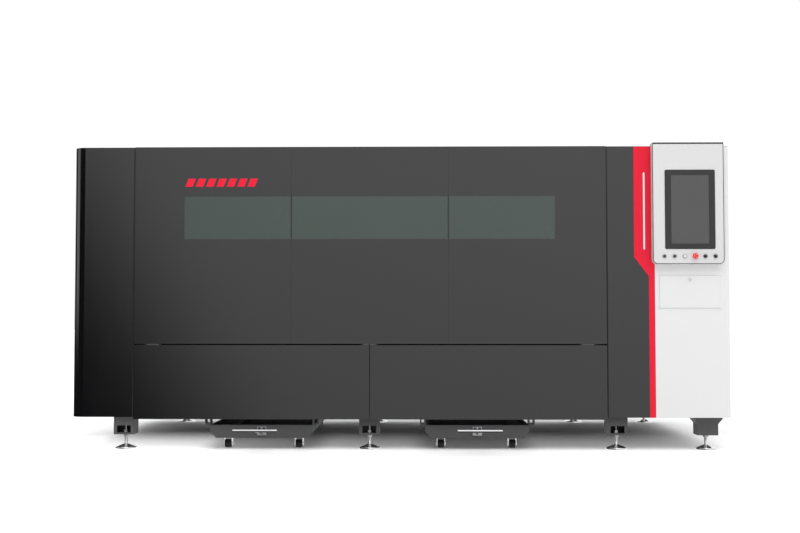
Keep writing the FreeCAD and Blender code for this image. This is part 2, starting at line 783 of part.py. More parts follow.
def make_buttons():
    for i in (0, 1, 2):
        shank = plunger(button_xs[i], plunger_out - 2)
        front = [e for e in shank.Edges
                 if len(e.Vertexes) == 1 and abs(e.CenterOfMass.y - shank.BoundBox.YMin) < 0.01]
        save("button_%d" % (i + 1), shank.makeFillet(1.5, front))
    x = button_xs[3]
    back = console_y - ring_t - stop_head_gap
    head = rod((x, back - stop_head_h, button_z), (0, 1, 0), stop_head_r, stop_head_h)
    front = [e for e in head.Edges
             if len(e.Vertexes) == 1 and abs(e.CenterOfMass.y - head.BoundBox.YMin) < 0.01]
    head = head.makeFillet(8, front)
    save("stop_button", head.fuse(plunger(x, stop_head_gap)))
    for i, name in ((4, "selector_left"), (5, "selector_right")):
        x = button_xs[i]
        y = console_y - ring_t - air
        dial = rod((x, y - knob_h, button_z), (0, 1, 0), knob_r, knob_h)
        grip = round_box(x - grip_w / 2, x + grip_w / 2, y - knob_h - grip_h, y - knob_h,
                         button_z - knob_r + 0.5, button_z + knob_r - 0.5, 2, 1)
        shank = plunger(x, knob_h)
        save(name, fuse([dial, grip, shank]))


def make_keyboard():
    """Sheet recess behind the flap with a keyboard on its floor, then the flap and its lock."""
    x0, x1 = kb_x0 + kb_lap - sheet, kb_x1 - kb_lap + sheet
    z0, z1 = kb_z0 + kb_lap - sheet, kb_z1 - kb_lap + sheet
    y0, y1 = sheet, sheet + kb_depth
    tray = box(x0, x1, y0, y1, z0, z1)
    tray = tray.cut(box(x0 + sheet, x1 - sheet, y0 - 1, y1 - sheet, z0 + sheet, z1 - sheet))
    mid = (x0 + x1) / 2
    board = round_box(mid - keyboard_len / 2, mid + keyboard_len / 2, y0 + 20, y0 + 20 + keyboard_w,
                      z0 + sheet, z0 + sheet + keyboard_h, 6, 2)
    save("keyboard_tray", [tray, board])
    ay, az = kb_axis_y, kb_axis_z
    skin = box(kb_x0, kb_x1, ay, ay + kb_flap_t, az, kb_z1)
    curl = rod((kb_x0, ay, az), (1, 0, 0), kb_curl_r, kb_x1 - kb_x0)
    flap = cut(skin.fuse(curl), [
        rod((kb_x0 - 1, ay, az), (1, 0, 0), kb_pin_r + run, kb_x1 - kb_x0 + 2),
        rod((lock_x, ay - 1, lock_z), (0, 1, 0), lock_shaft_r + air, kb_flap_t + 2),
    ])
    save("keyboard_flap", flap)
    back = ay - air
    head = rod((lock_x, back - lock_head_h, lock_z), (0, 1, 0), lock_r, lock_head_h)
    shaft = rod((lock_x, back, lock_z), (0, 1, 0), lock_shaft_r, kb_flap_t + 2 * air + 3)
    washer = rod((lock_x, ay + kb_flap_t + air, lock_z), (0, 1, 0), lock_shaft_r + 3, 3)
    slot = box(lock_x - 1, lock_x + 1, back - lock_head_h - 1, back - lock_head_h + 2, lock_z - 5,
               lock_z + 5)
    save("flap_lock", fuse([head, shaft, washer]).cut(slot))


def cart_section(inset):
    """Half-open cross-section of a scrap tray, with its lower corners cut off."""
    w = cart_half_w - inset
    z0 = cart_z0 + inset
    z1 = cart_z1 + (10 if inset else 0)
    k = inset * math.tan(math.radians(22.5))
    b, h = cart_bevel_w - k, cart_bevel_h - k
    return [(-w, z1), (-w, z0 + h), (-w + b, z0), (w - b, z0), (w, z0 + h), (w, z1)]


def make_cart(side, x):
    """Scrap tray on four castors, with a tow bar at its front."""
    y0, y1 = cart_front_y, cart_front_y + cart_len
    s = cart_sheet
    tray = plate_xz(cart_section(0), y0, y1).cut(plate_xz(cart_section(s), y0 + s, y1 - s))
    save("cart_%s_tray" % side, moved(tray, x))
    forks = []
    for y in castor_ys():
        for dx in (-castor_dx, castor_dx):
            forks.append(fork(x + dx, y))
    save("cart_%s_forks" % side, forks)
    for name, y in zip(("front", "rear"), castor_ys()):
        pair = [wheel(x - castor_dx, y), wheel(x + castor_dx, y)]
        save("cart_%s_%s_wheels" % (side, name), pair)
    save("cart_%s_tow_bar" % side, tow_bar(x))


def castor_ys():
    return (cart_front_y + castor_inset, cart_front_y + cart_len - castor_inset)


def fork(x, y):
    inner = wheel_w / 2 + fork_gap
    t = fork_plate_t
    top = cart_z0 - t
    parts = [box(x - fork_plate_w / 2, x + fork_plate_w / 2, y - fork_plate_len / 2,
                 y + fork_plate_len / 2, top, cart_z0)]
    for x0 in (x - inner - t, x + inner):
        cheek = box(x0, x0 + t, y - fork_w / 2, y + fork_w / 2, wheel_r, top)
        foot = rod((x0, y, wheel_r), (1, 0, 0), 14, t)
        wide = prism([(x0, y - fork_w / 2, top), (x0, y + fork_w / 2, top), (x0, y + 14, wheel_r),
                      (x0, y - 14, wheel_r)], (t, 0, 0))
        parts += [cheek.common(wide), foot]
    parts.append(rod((x - inner - t - 3, y, wheel_r), (1, 0, 0), axle_r, 2 * (inner + t + 3)))
    return fuse(parts)


def wheel(x, y):
    h = wheel_w / 2
    tyre = rod((x - h, y, wheel_r), (1, 0, 0), wheel_r, wheel_w)
    tyre = tyre.makeFillet(4, [e for e in tyre.Edges if len(e.Vertexes) == 1])
    return tyre.cut(rod((x - h - 1, y, wheel_r), (1, 0, 0), axle_r + run, wheel_w + 2))


def tow_bar(x):
    """Face plate, rising stem and cross handle as one weldment, and its two bolts."""
    y0 = cart_front_y
    plate_y = y0 - tow_plate_t
    z0 = tow_root_z - 16
    plate = box(x - tow_plate_w / 2, x + tow_plate_w / 2, plate_y, y0, z0, z0 + tow_plate_h)
    end_y = y0 - tow_reach
    start, end = V(x, y0 - 1, tow_root_z), V(x, end_y, tow_bar_z)
    way = end - start
    stem = Part.makeCylinder(tow_r, way.Length, start, way)
    handle = rod((x - tow_bar_len / 2, end_y, tow_bar_z), (1, 0, 0), tow_r, tow_bar_len)
    bar = fuse([plate, stem, handle]).common(box(-5000, 5000, -5000, y0, 0, 500))
    bolts = []
    for dx in (-tow_bolt_dx, tow_bolt_dx):
        bolts.append(rod((x + dx, plate_y - 7, tow_bolt_z), (0, 1, 0), tow_bolt_r, 7))
    return [bar] + bolts


def make_stirrups():
    """Sheet stirrups under the base ring, beside each cart."""
    solids = []
    t = stirrup_t
    for cx in cart_xs:
        for dx in (-stirrup_dx, stirrup_dx):
            x0, x1 = cx + dx - stirrup_w / 2, cx + dx + stirrup_w / 2
            y0, y1 = leg_front_y, leg_front_y + stirrup_len
            outer = box(x0, x1, y0, y1, skirt_z - stirrup_h, skirt_z)
            hollow = box(x0 + t, x1 - t, y0 - 1, y1 + 1, skirt_z - stirrup_h + t, skirt_z - t)
            solids.append(outer.cut(hollow))
    save("cart_stirrups", solids)


def make_slats():
    """Ledges on the beams and the toothed slats that carry the work sheet."""
    y0 = beam_front_y + beam_w
    y1 = 2 * mid_y - y0
    x0, x1 = slat_x0 - slat_pitch / 2, slat_x0 + slat_pitch * (slat_count - 0.5)
    t = ledge_back_t
    side = fuse([box(x0, x1, y0, y0 + t, slat_z0 - ledge_t, ledge_top_z),
                 box(x0, x1, y0, y0 + ledge_w, slat_z0 - ledge_t, slat_z0)])
    save("slat_ledges", [side, other_side(side)])
    a, b = y0 + t + 1, y1 - t - 1
    teeth = int((b - a) / slat_tooth_pitch)
    pitch = (b - a) / teeth
    base = slat_z0 + slat_h
    outline = [(a, slat_z0), (b, slat_z0)]
    for i in range(teeth, 0, -1):
        outline.append((a + pitch * i, base))
        outline.append((a + pitch * (i - 0.5), base + slat_tooth_h))
    outline.append((a, base))
    slat = prism([(0, y, z) for y, z in outline], (slat_t, 0, 0))
    save("slats", [moved(slat, slat_x0 + slat_pitch * i) for i in range(slat_count)])


def rack(x0, x1):
    """A straight rack with teeth up, its pitch line at rack_pitch_z."""
    pitch = math.pi * module
    half = pitch / 4 - backlash / 4
    slope = math.tan(math.radians(20)) * module
    z_tip, z_root = rack_pitch_z + module, rack_pitch_z - 1.25 * module
    pts = [(x0, beam_top_z), (x0, z_root)]
    middle = gantry_x + drive_dx
    first = math.ceil((x0 + pitch - middle) / pitch)
    last = math.floor((x1 - pitch - middle) / pitch)
    for i in range(first, last + 1):
        c = middle + i * pitch
        pts += [(c - half - 1.25 * slope, z_root), (c - half + slope, z_tip),
                (c + half - slope, z_tip), (c + half + 1.25 * slope, z_root)]
    pts += [(x1, z_root), (x1, beam_top_z)]
    return plate_xz(pts, rack_y - rack_w / 2, rack_y + rack_w / 2)


def gear_outline(cx, cz):
    """Involute teeth in the XZ plane; a gap of the gear faces straight down."""
    base_r = pinion_r * math.cos(math.radians(20))
    tip_r = pinion_r + module
    root_r = pinion_r - 1.25 * module

    def inv(r):
        a = math.acos(min(1, base_r / r))
        return math.tan(a) - a
    half = math.pi / (2 * pinion_teeth) - backlash / 4 / pinion_r
    radii = [base_r + (tip_r - base_r) * i / 5 for i in range(6)]
    pts = []
    for i in range(pinion_teeth):
        mid = 2 * math.pi * (i + 0.5) / pinion_teeth - math.pi / 2
        flank = [(r, half + inv(pinion_r) - inv(r)) for r in radii]
        left = [(root_r, flank[0][1])] + flank
        pts += [(r, mid - a) for r, a in left] + [(r, mid + a) for r, a in reversed(left)]
    return [(cx + r * math.cos(a), cz + r * math.sin(a)) for r, a in pts]


def make_long_axis():
    """Long rails and racks on the beams."""
    h = leg_side / 2
    x0, x1 = leg_xs[0] - h + 20, leg_xs[2] + h - 20
    rail = box(x0, x1, beam_mid_y - rail_w / 2, beam_mid_y + rail_w / 2, beam_top_z,
               beam_top_z + rail_h)
    save("long_rails", [rail, other_side(rail)])
    bar = rack(x0, x1)
    save("long_racks", [bar, other_side(bar)])


def make_gantry():
    """Cross beam with end plates, its blocks, drives and pinions."""
    gx = gantry_x
    y0 = gantry_end_y
    y_in = beam_front_y + beam_w + drive_wall_gap
    foot = box(gx - gantry_plate_in, gx + gantry_plate_out, y0, y_in, block_top_z, gantry_plate_z1)
    px = gx + drive_dx
    s = gearbox_side / 2
    ear = box(px - s, gx - gantry_plate_in, y_in - drive_plate_t, y_in, pinion_z - s + 5,
              gantry_plate_z1)
    hole = rod((px, y_in - drive_plate_t - 1, pinion_z), (0, 1, 0), drive_hole_r, drive_plate_t + 2)
    end = fuse([foot, ear]).cut(hole)
    b = gantry_beam_half
    beam = tube(gx - b, gx + b, y0, 2 * mid_y - y0, gantry_plate_z1, gantry_plate_z1 + gantry_beam_h,
                1, gantry_wall)
    save("gantry_beam", fuse([end, other_side(end), beam]))
    blocks = []
    zb = beam_top_z + block_rise
    for dx in (-block_dx, block_dx):
        x0, x1 = gx + dx - block_len / 2, gx + dx + block_len / 2
        x0, x1 = max(x0, gx - gantry_plate_in - 70), min(x1, gx + gantry_plate_out)
        block = box(x0, x1, beam_mid_y - block_w / 2, beam_mid_y + block_w / 2, zb, block_top_z)
        g = rail_w / 2 + air
        slot = box(x0 - 1, x1 + 1, beam_mid_y - g, beam_mid_y + g, zb - 1, beam_top_z + rail_h + air)
        block = block.cut(slot)
        blocks += [block, other_side(block)]
    save("gantry_blocks", blocks)
    case = box(px - s, px + s, y_in, y_in + gearbox_len, pinion_z - s + 5, pinion_z + s)
    case = case.makeFillet(5, [e for e in case.Edges
                               if abs(e.Vertexes[0].Y - e.Vertexes[1].Y) > 1])
    seat = rod((px, y_in - 1, pinion_z), (0, 1, 0), drive_shaft_r + air, 31)
    case = case.cut(seat)
    motor = rod((px, y_in + gearbox_len, pinion_z), (0, 1, 0), motor_r, motor_len)
    drive = case.fuse(motor)
    save("gantry_drives", [drive, other_side(drive)])
    w = rack_w - 2
    teeth = plate_xz(gear_outline(px, pinion_z), rack_y - w / 2, rack_y + w / 2)
    shaft = rod((px, rack_y, pinion_z), (0, 1, 0), drive_shaft_r, y_in + 28 - rack_y)
    pinion = fuse([teeth, shaft])
    save("gantry_pinions", [pinion, other_side(pinion)])
    face = gx + b
    rails = []
    for z in cross_rail_zs():
        rails.append(box(face, face + cross_rail_t, y0 + 20, 2 * mid_y - y0 - 20, z - cross_rail_w / 2,
                         z + cross_rail_w / 2))
    save("cross_rails", rails)


def cross_rail_zs():
    return (gantry_plate_z1 + cross_rail_inset, gantry_plate_z1 + gantry_beam_h - cross_rail_inset)


def make_carriage():
    """Cross carriage, lift plate, head and nozzle."""
    face = gantry_x + gantry_beam_half
    cy = carriage_y
    h = carriage_w / 2
    px = face + cross_rail_t + carriage_gap
    z0, z1 = gantry_plate_z1, gantry_plate_z1 + gantry_beam_h
    parts = [box(px, px + carriage_t, cy - h, cy + h, z0, z1)]
    slots = []
    g = cross_rail_w / 2 + air
    for z in cross_rail_zs():
        bh = carriage_block_h / 2
        parts.append(box(face + 8, px, cy - h, cy + h, z - bh, z + bh))
        slots.append(box(face, face + cross_rail_t + air, cy - h - 1, cy + h + 1, z - g, z + g))
    rib_x = px + carriage_t
    for dy in (-lift_rib_dy, lift_rib_dy):
        w = lift_rib_w / 2
        parts.append(box(rib_x, rib_x + lift_rib_t, cy + dy - w, cy + dy + w, z0, z1))
    save("cross_carriage", cut(fuse(parts), slots))
    lx = rib_x + lift_rib_t + lift_gap
    parts = [box(lx, lx + lift_plate_t, cy - lift_plate_w / 2, cy + lift_plate_w / 2, lift_plate_z0 + 70,
                 lift_plate_z1)]
    slots = []
    for dy in (-lift_rib_dy, lift_rib_dy):
        w = lift_rib_w
        g = lift_rib_w / 2 + air
        parts.append(box(rib_x + 4, lx, cy + dy - w, cy + dy + w, lift_plate_z0 + 120, lift_plate_z1 - 20))
        slots.append(box(rib_x, rib_x + lift_rib_t + air, cy + dy - g, cy + dy + g, z0, z1 + 50))
    save("lift_plate", cut(fuse(parts), slots))
    hx = lx + lift_plate_t
    mx = hx + head_side / 2
    case = round_box(hx, hx + head_side, cy - head_side / 2, cy + head_side / 2, head_z0, head_z1, 8, 2)
    barrel = rod((mx, cy, barrel_head_z), (0, 0, 1), barrel_head_r, head_z0 - barrel_head_z)
    plug = rod((mx, cy, head_z1), (0, 0, 1), fibre_r, fibre_h)
    save("cutting_head", fuse([case, barrel, plug]))
    tip = Part.makeCone(nozzle_tip_r, nozzle_top_r, nozzle_h, V(mx, cy, barrel_head_z - nozzle_h))
    save("nozzle", tip.cut(rod((mx, cy, 0), (0, 0, 1), 1, barrel_head_z)))


def make_source():
    w, d, h = source_size
    x1 = leg_xs[-1] + source_shift
    t = source_wall
    case = round_box(x1 - w, x1, source_y0, source_y0 + d, base_top_z, base_top_z + h, 6, 2)
    inside = box(x1 - w + t, x1 - t, source_y0 + t, source_y0 + d - t, base_top_z - 1,
                 base_top_z + h - t)
    save("laser_source", case.cut(inside))


def main():
    os.makedirs("parts", exist_ok=True)
    make_feet()
    make_bed()
    make_front_frame()
    make_left_panel()
    make_right_panels()
    make_cabinet()
    make_cabinet_door()
    make_walls()
    make_ports()
    make_door()
    make_flaps()
    make_console()
    make_buttons()
    make_keyboard()
    for side, x in zip(("left", "right"), cart_xs):
        make_cart(side, x)
    make_stirrups()
    make_slats()
    make_long_axis()
    make_gantry()
    make_carriage()
    make_source()


main()
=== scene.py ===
import bpy
import bmesh
import json
import math
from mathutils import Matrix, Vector


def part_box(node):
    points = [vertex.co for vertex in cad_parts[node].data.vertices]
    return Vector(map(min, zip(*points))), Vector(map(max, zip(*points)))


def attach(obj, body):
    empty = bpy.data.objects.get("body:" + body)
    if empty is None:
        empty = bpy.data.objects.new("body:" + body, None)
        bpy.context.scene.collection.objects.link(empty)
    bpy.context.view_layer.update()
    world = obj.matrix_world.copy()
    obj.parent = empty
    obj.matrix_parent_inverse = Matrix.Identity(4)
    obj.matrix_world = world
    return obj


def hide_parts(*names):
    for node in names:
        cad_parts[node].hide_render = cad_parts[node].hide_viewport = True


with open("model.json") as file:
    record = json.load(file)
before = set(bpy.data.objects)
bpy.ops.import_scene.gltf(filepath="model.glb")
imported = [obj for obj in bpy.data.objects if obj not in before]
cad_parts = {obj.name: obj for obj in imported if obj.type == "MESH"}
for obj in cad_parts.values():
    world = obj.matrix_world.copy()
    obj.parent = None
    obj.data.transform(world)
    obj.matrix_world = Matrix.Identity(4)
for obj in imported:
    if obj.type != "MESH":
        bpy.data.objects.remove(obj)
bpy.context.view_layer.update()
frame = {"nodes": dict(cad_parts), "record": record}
nodes = frame["nodes"]
scene = bpy.context.scene

# ---------------------------------------------------------------- shader maths


class Value:
    """One output in a node tree. Arithmetic on it adds Math nodes."""

    def __init__(self, nodes_of, socket):
        self.nodes_of = nodes_of
        self.socket = socket

    def math(self, operation, *others, clamp=False):
        inputs = dict(enumerate((self,) + others))
        return self.nodes_of.node("Math", {"operation": operation, "use_clamp": clamp}, inputs)

    def __add__(self, other):
        return self.math("ADD", other)

    def __sub__(self, other):
        return self.math("SUBTRACT", other)

    def __rsub__(self, other):
        return (self * -1.0) + other

    def __mul__(self, other):
        return self.math("MULTIPLY", other)

    def __truediv__(self, other):
        return self.math("DIVIDE", other)

    __radd__ = __add__
    __rmul__ = __mul__

    def above(self, low, high):
        """0 below low, 1 above high, and even between them."""
        return ((self - low) / (high - low)).math("ADD", 0.0, clamp=True)

    def eased(self, low, high):
        """Like above, with soft ends."""
        settings = {"interpolation_type": "SMOOTHSTEP"}
        return self.nodes_of.node("MapRange", settings, {"Value": self, "From Min": low, "From Max": high})

    def larger(self, other):
        return self.math("MAXIMUM", other)


class NodeTree:
    """Adds nodes to one tree and wraps what they give."""

    def __init__(self, tree):
        self.tree = tree

    def node(self, kind, settings=None, inputs=None, out=0):
        made = self.tree.nodes.new("ShaderNode" + kind)
        for key, value in (settings or {}).items():
            setattr(made, key, value)
        for key, value in (inputs or {}).items():
            self.link(made.inputs[key], value)
        return Value(self, made.outputs[out])

    def link(self, socket, value):
        if isinstance(value, Value):
            self.tree.links.new(value.socket, socket)
        else:
            socket.default_value = value

    def mix(self, mask, low, high):
        inputs = {"Factor": mask}
        for key, colour in ((6, low), (7, high)):
            inputs[key] = colour if isinstance(colour, Value) else (*colour[:3], 1.0)
        return self.node("Mix", {"data_type": "RGBA"}, inputs, out=2)


class Finish(NodeTree):
    """One material, built round its Principled shader."""

    def __init__(self, name, **fixed):
        self.material = bpy.data.materials.new(name)
        self.material.use_nodes = True
        super().__init__(self.material.node_tree)
        self.shader = next(n for n in self.tree.nodes if n.type == "BSDF_PRINCIPLED")
        self.set(**fixed)
        self.place = self.node("TexCoord", out="Object")

    def set(self, **inputs):
        for key, value in inputs.items():
            self.link(self.shader.inputs[key.replace("_", " ")], value)

    def noise(self, size, detail=2.0, stretch=(1, 1, 1)):
        """Noise with blotches about size metres across."""
        where = self.node("Mapping", None, {"Vector": self.place, "Scale": stretch})
        return self.node("TexNoise", None, {"Vector": where, "Scale": 1 / size, "Detail": detail})

    def rounded(self, radius):
        """The surface normal with its sharp edges eased over a radius."""
        return self.node("Bevel", {"samples": 6}, {"Radius": radius})

    def edges(self, eased):
        """1 along sharp edges and corners, 0 on open faces."""
        flat = self.node("NewGeometry", out="Normal")
        dot = self.node("VectorMath", {"operation": "DOT_PRODUCT"}, {0: eased, 1: flat}, out="Value")
        return 1.0 - dot.above(0.80, 0.995)

    def bump(self, height, depth, strength, under):
        inputs = {"Height": height, "Distance": depth, "Strength": strength, "Normal": under}
        return self.node("Bump", None, inputs)


# ---------------------------------------------------------------- finishes

def coat(name, colour, worn, rough=0.36, gloss=0.5, peel=0.0016, drift=0.10):
    """Powder coat: fine peel, slight colour drift, edges rubbed a little lighter."""
    f = Finish(name, Specular_IOR_Level=gloss)
    cloud = f.noise(0.45, 3.0)
    smear = f.noise(0.12, 4.0, (1, 1, 0.35))
    eased = f.rounded(0.0012)
    wear = f.edges(eased) * f.noise(0.05, 3.0).above(0.35, 0.65)
    lighter = [c * 1.5 + 0.004 for c in colour]
    base = f.mix(cloud.above(0.3, 0.7) * drift, colour, lighter)
    f.set(
        Base_Color=f.mix(wear * 0.4, base, worn),
        Roughness=rough + smear * 0.05 + wear * 0.08,
        Normal=f.bump(f.noise(peel), 0.00005, 0.35, eased),
    )
    return f.material


def metal(name, colour, rough=0.25, scratch=(40, 1, 1), depth=0.00002, shade=0.72, painted_underside_shade=0.0):
    """Bare metal with fine scratches along one way, duller spots, and painted shade that darkens the faces
    looking down.
    """
    f = Finish(name, Metallic=1.0)
    lines = f.noise(0.02, 6.0, scratch)
    spots = f.noise(0.06, 3.0)
    eased = f.rounded(0.0008)
    wear = f.edges(eased)
    normal = f.node("NewGeometry", out="Normal")
    # Painted shade: faces that look down are darkened towards near black by this amount.
    under = f.node("SeparateXYZ", None, {0: normal}, out="Z").above(0.0, -0.4) * painted_underside_shade
    bright = f.mix(spots.above(0.35, 0.75) * 0.35, colour, [c * shade for c in colour])
    f.set(
        Base_Color=f.mix(under, bright, (0.01, 0.01, 0.01)),
        Roughness=rough + lines * 0.12 - wear * 0.05,
        Normal=f.bump(lines, depth, 0.35, eased),
    )
    return f.material


def plastic(name, colour, rough=0.42, gloss=0.5, grain=0.0009):
    """Moulded plastic: spark-eroded grain, polished where it is touched."""
    f = Finish(name, Specular_IOR_Level=gloss)
    spots = f.noise(0.03, 3.0)
    eased = f.rounded(0.0006)
    wear = f.edges(eased)
    f.set(
        Base_Color=f.mix(wear * 0.3 + spots * 0.1, colour, [min(1, c * 1.25 + 0.01) for c in colour]),
        Roughness=rough + spots * 0.1 - wear * 0.08,
        Normal=f.bump(f.noise(grain), 0.00003, 0.4, eased),
    )
    return f.material


def rubber(name):
    """Cast black rubber with dust held in its grain."""
    f = Finish(name, Specular_IOR_Level=0.35)
    dust = f.noise(0.012, 4.0)
    eased = f.rounded(0.001)
    f.set(
        Base_Color=f.mix(dust.above(0.5, 0.8) * 0.4, (0.005, 0.005, 0.005), (0.03, 0.029, 0.028)),
        Roughness=0.32 + dust * 0.25,
        Normal=f.bump(f.noise(0.0015, 3.0), 0.00006, 0.5, eased),
    )
    return f.material


def dark_glass(name, colour, alpha, rough, gloss=0.5):
    """Tinted sheet with a faint haze."""
    f = Finish(name, Specular_IOR_Level=gloss)
    haze = f.noise(0.35, 3.0)
    ripple = f.noise(0.6, 1.0)
    f.set(
        Base_Color=f.mix(haze.above(0.3, 0.7) * 0.25, colour, [c * 1.2 for c in colour]),
        Roughness=rough + haze * 0.04,
        Alpha=alpha + haze * 0.01,
        Normal=f.bump(ripple, 0.0002, 0.15, f.rounded(0.0006)),
    )
    return f.material


finishes = {
    "dark_panel": coat("charcoal_powder_coat", (0.0026, 0.0026, 0.0030), (0.03, 0.03, 0.031), 0.08, 0.90),
    "red_panel": coat("red_powder_coat", (0.60, 0.0050, 0.026), (0.80, 0.10, 0.10), 0.34, 0.22, drift=0.03),
    "white_panel": coat("white_powder_coat", (0.595, 0.595, 0.60), (0.68, 0.68, 0.68), 0.42, 0.3, drift=0.0),
    "frame_paint": coat("dark_frame_paint", (0.060, 0.060, 0.061), (0.14, 0.135, 0.13), 0.55, 0.22),
    "door_alloy": metal("dark_anodised_bars", (0.09, 0.09, 0.095), 0.4),
    "tinted_glass": dark_glass("green_grey_window", (0.026, 0.040, 0.034), 0.96, 0.22, 0.80),
    "bright_steel": metal("bright_plated_steel", (0.86, 0.86, 0.86), 0.10, (1, 1, 30), shade=0.85),
    "bare_steel": metal("ground_steel", (0.52, 0.52, 0.53), 0.30, (30, 1, 1)),
    # The tow bar's underside is painted dark as its shade.
    "cart_bar": metal("drawn_tow_bar", (0.42, 0.42, 0.43), 0.22, (40, 1, 1), painted_underside_shade=0.95),
    "black_rubber": rubber("black_rubber"),
    "gantry_paint": coat("light_gantry_paint", (0.55, 0.56, 0.57), (0.7, 0.7, 0.7), 0.4),
    "motor_black": coat("black_motor_paint", (0.02, 0.02, 0.022), (0.15, 0.15, 0.15), 0.4),
    "head_alloy": metal("machined_head_alloy", (0.66, 0.67, 0.68), 0.28, (1, 1, 30)),
    "nozzle_copper": metal("turned_copper", (0.72, 0.38, 0.24), 0.2, (1, 1, 60)),
    "port_brass": metal("turned_brass", (0.70, 0.52, 0.24), 0.22, (1, 30, 1)),
    "screen_frame": plastic("dark_screen_frame", (0.013, 0.013, 0.0135), 0.36),
    "screen_glass": dark_glass("dark_display_glass", (0.056, 0.056, 0.057), 0.985, 0.14),
    "black_plastic": plastic("black_switch_plastic", (0.012, 0.012, 0.013), 0.30),
    "pale_plastic": plastic("pale_switch_plastic", (0.60, 0.60, 0.58), 0.35),
    "red_plastic": plastic("red_stop_plastic", (0.66, 0.006, 0.010), 0.22),
    "lock_chrome": metal("plated_lock", (0.80, 0.80, 0.80), 0.12, (1, 40, 1)),
}
dark_hinge = coat("dark_hinge_paint", (0.006, 0.006, 0.0062), (0.05, 0.05, 0.05), 0.5, 0.3)
console_white = coat("console_powder_coat", (0.525, 0.522, 0.522), (0.62, 0.62, 0.62), 0.42, 0.3, drift=0.0)


def dress_frame():
    """Gives every CAD node the finish of its slot, but for three with a shade of their own."""
    slots = {row["node"]: row["material_slot"] for row in frame["record"]["subparts"]}
    special = {"console_box": console_white, "flap_hinges": dark_hinge, "foot_nuts": finishes["bare_steel"]}
    for name, obj in nodes.items():
        for slot in obj.material_slots:
            slot.material = special.get(name, finishes[slots[name]])


# ---------------------------------------------------------------- sizes in metres

pad_r = 0.074            # levelling pad
stud_r = 0.011           # its stud
leg_plate = 0.012        # bottom plate of a leg
bar_r = 0.010            # tow bar
castor_axle_z = 0.030
castor_half = 0.023      # half a castor wheel's width
fork_sheet = 0.006
long_rail_w = 0.034
beam_h = 0.240           # gantry beam
knuckle_out = 0.008      # how far the side door's hinge knuckles stand out past its sheet
rear_sheets = 4          # rear sheets over the cutting room
roof_sheets = 3          # roof sheets over the cutting room
strip_half = 0.009       # half the width of the strip behind a seam
sheet = 0.002            # cover sheet
screw_r = 0.0075         # cover screw's head
ports = ((1.780, 0.012), (1.860, 0.012), (1.940, 0.009), (2.040, 0.020))    # x and radius

# ---------------------------------------------------------------- mesh tools

def finish_piece(name, body, slot, bm, sharp=32.0):
    """Turns a built mesh into a piece that rides on a body and wears a slot's finish."""
    bmesh.ops.recalc_face_normals(bm, faces=bm.faces)
    mesh = bpy.data.meshes.new(name)
    bm.to_mesh(mesh)
    bm.free()
    mesh.shade_smooth()
    mesh.set_sharp_from_angle(angle=math.radians(sharp))
    mesh.materials.append(finishes[slot])
    obj = bpy.data.objects.new(name, mesh)
    scene.collection.objects.link(obj)
    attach(obj, body)
    return obj


def turn(bm, profile, at, way=(0, 0, 1), sides=32):
    """Revolves (radius, along) points about a line through at. A zero radius closes an end."""
    spin = Vector((0, 0, 1)).rotation_difference(Vector(way)).to_matrix()
    rings = []
    for radius, along in profile:
        count = 1 if radius == 0 else sides
        ring = []
        for i in range(count):
            angle = math.tau * i / sides
            spot = Vector((radius * math.cos(angle), radius * math.sin(angle), along))
            ring.append(bm.verts.new(Vector(at) + spin @ spot))
        rings.append(ring)
    for low, high in zip(rings, rings[1:]):
        for i in range(sides):
            j = (i + 1) % sides
            a, b = low[i % len(low)], low[j % len(low)]
            c, d = high[j % len(high)], high[i % len(high)]
            corners = [v for k, v in enumerate((a, b, c, d)) if v not in (a, b, c, d)[:k]]
            if len(corners) > 2:
                bm.faces.new(corners)


def ring_loop(bm, profile, at, way, sides=32):
    """Revolves a closed section, such as a washer's or a rubber ring's."""
    turn(bm, list(profile) + [profile[0]], at, way, sides)
    bmesh.ops.remove_doubles(bm, verts=bm.verts, dist=1e-7)


def block(bm, low, high, ease=0.001, steps=2):
    """A block between two corners, with rounded edges."""
    low, high = Vector(low), Vector(high)
    verts = bmesh.ops.create_cube(bm, size=1.0)["verts"]
    for v in verts:
        v.co = Vector((low[i] + (v.co[i] + 0.5) * (high[i] - low[i]) for i in range(3)))
    edges = list({e for v in verts for e in v.link_edges})
    bmesh.ops.bevel(bm, geom=edges, offset=ease, segments=steps, affect="EDGES", profile=0.5)


def slab(bm, outline, push):
    """A closed outline of 3-D points, pushed along a vector."""
    back = [bm.verts.new(p) for p in outline]
    front = [bm.verts.new(Vector(p) + Vector(push)) for p in outline]
    bm.faces.new(back)
    bm.faces.new(front)
    for i in range(len(outline)):
        j = (i + 1) % len(outline)
        bm.faces.new((back[i], back[j], front[j], front[i]))


def band(bm, outer, inner, push):
    """The strip between two outlines with as many points, pushed along a vector."""
    push = Vector(push)
    loops = [[bm.verts.new(Vector(p) + shift) for p in line]
             for line, shift in ((outer, Vector()), (outer, push), (inner, push), (inner, Vector()))]
    count = len(outer)
    for a, b in zip(loops, loops[1:] + loops[:1]):
        for i in range(count):
            j = (i + 1) % count
            bm.faces.new((a[i], a[j], b[j], b[i]))


def rounded_outline(u0, u1, v0, v1, radii, steps=8):
    """Corner arcs of a rectangle, from its low-u low-v corner round. radii gives each corner's."""
    centres = ((u0, v0, 1, 1, 180), (u1, v0, -1, 1, 270), (u1, v1, -1, -1, 0), (u0, v1, 1, -1, 90))
    points = []
    for (u, v, du, dv, start), r in zip(centres, radii):
        for i in range(steps + 1):
            a = math.radians(start + 90 * i / steps)
            points.append((u + du * r + r * math.cos(a), v + dv * r + r * math.sin(a)))
    return points


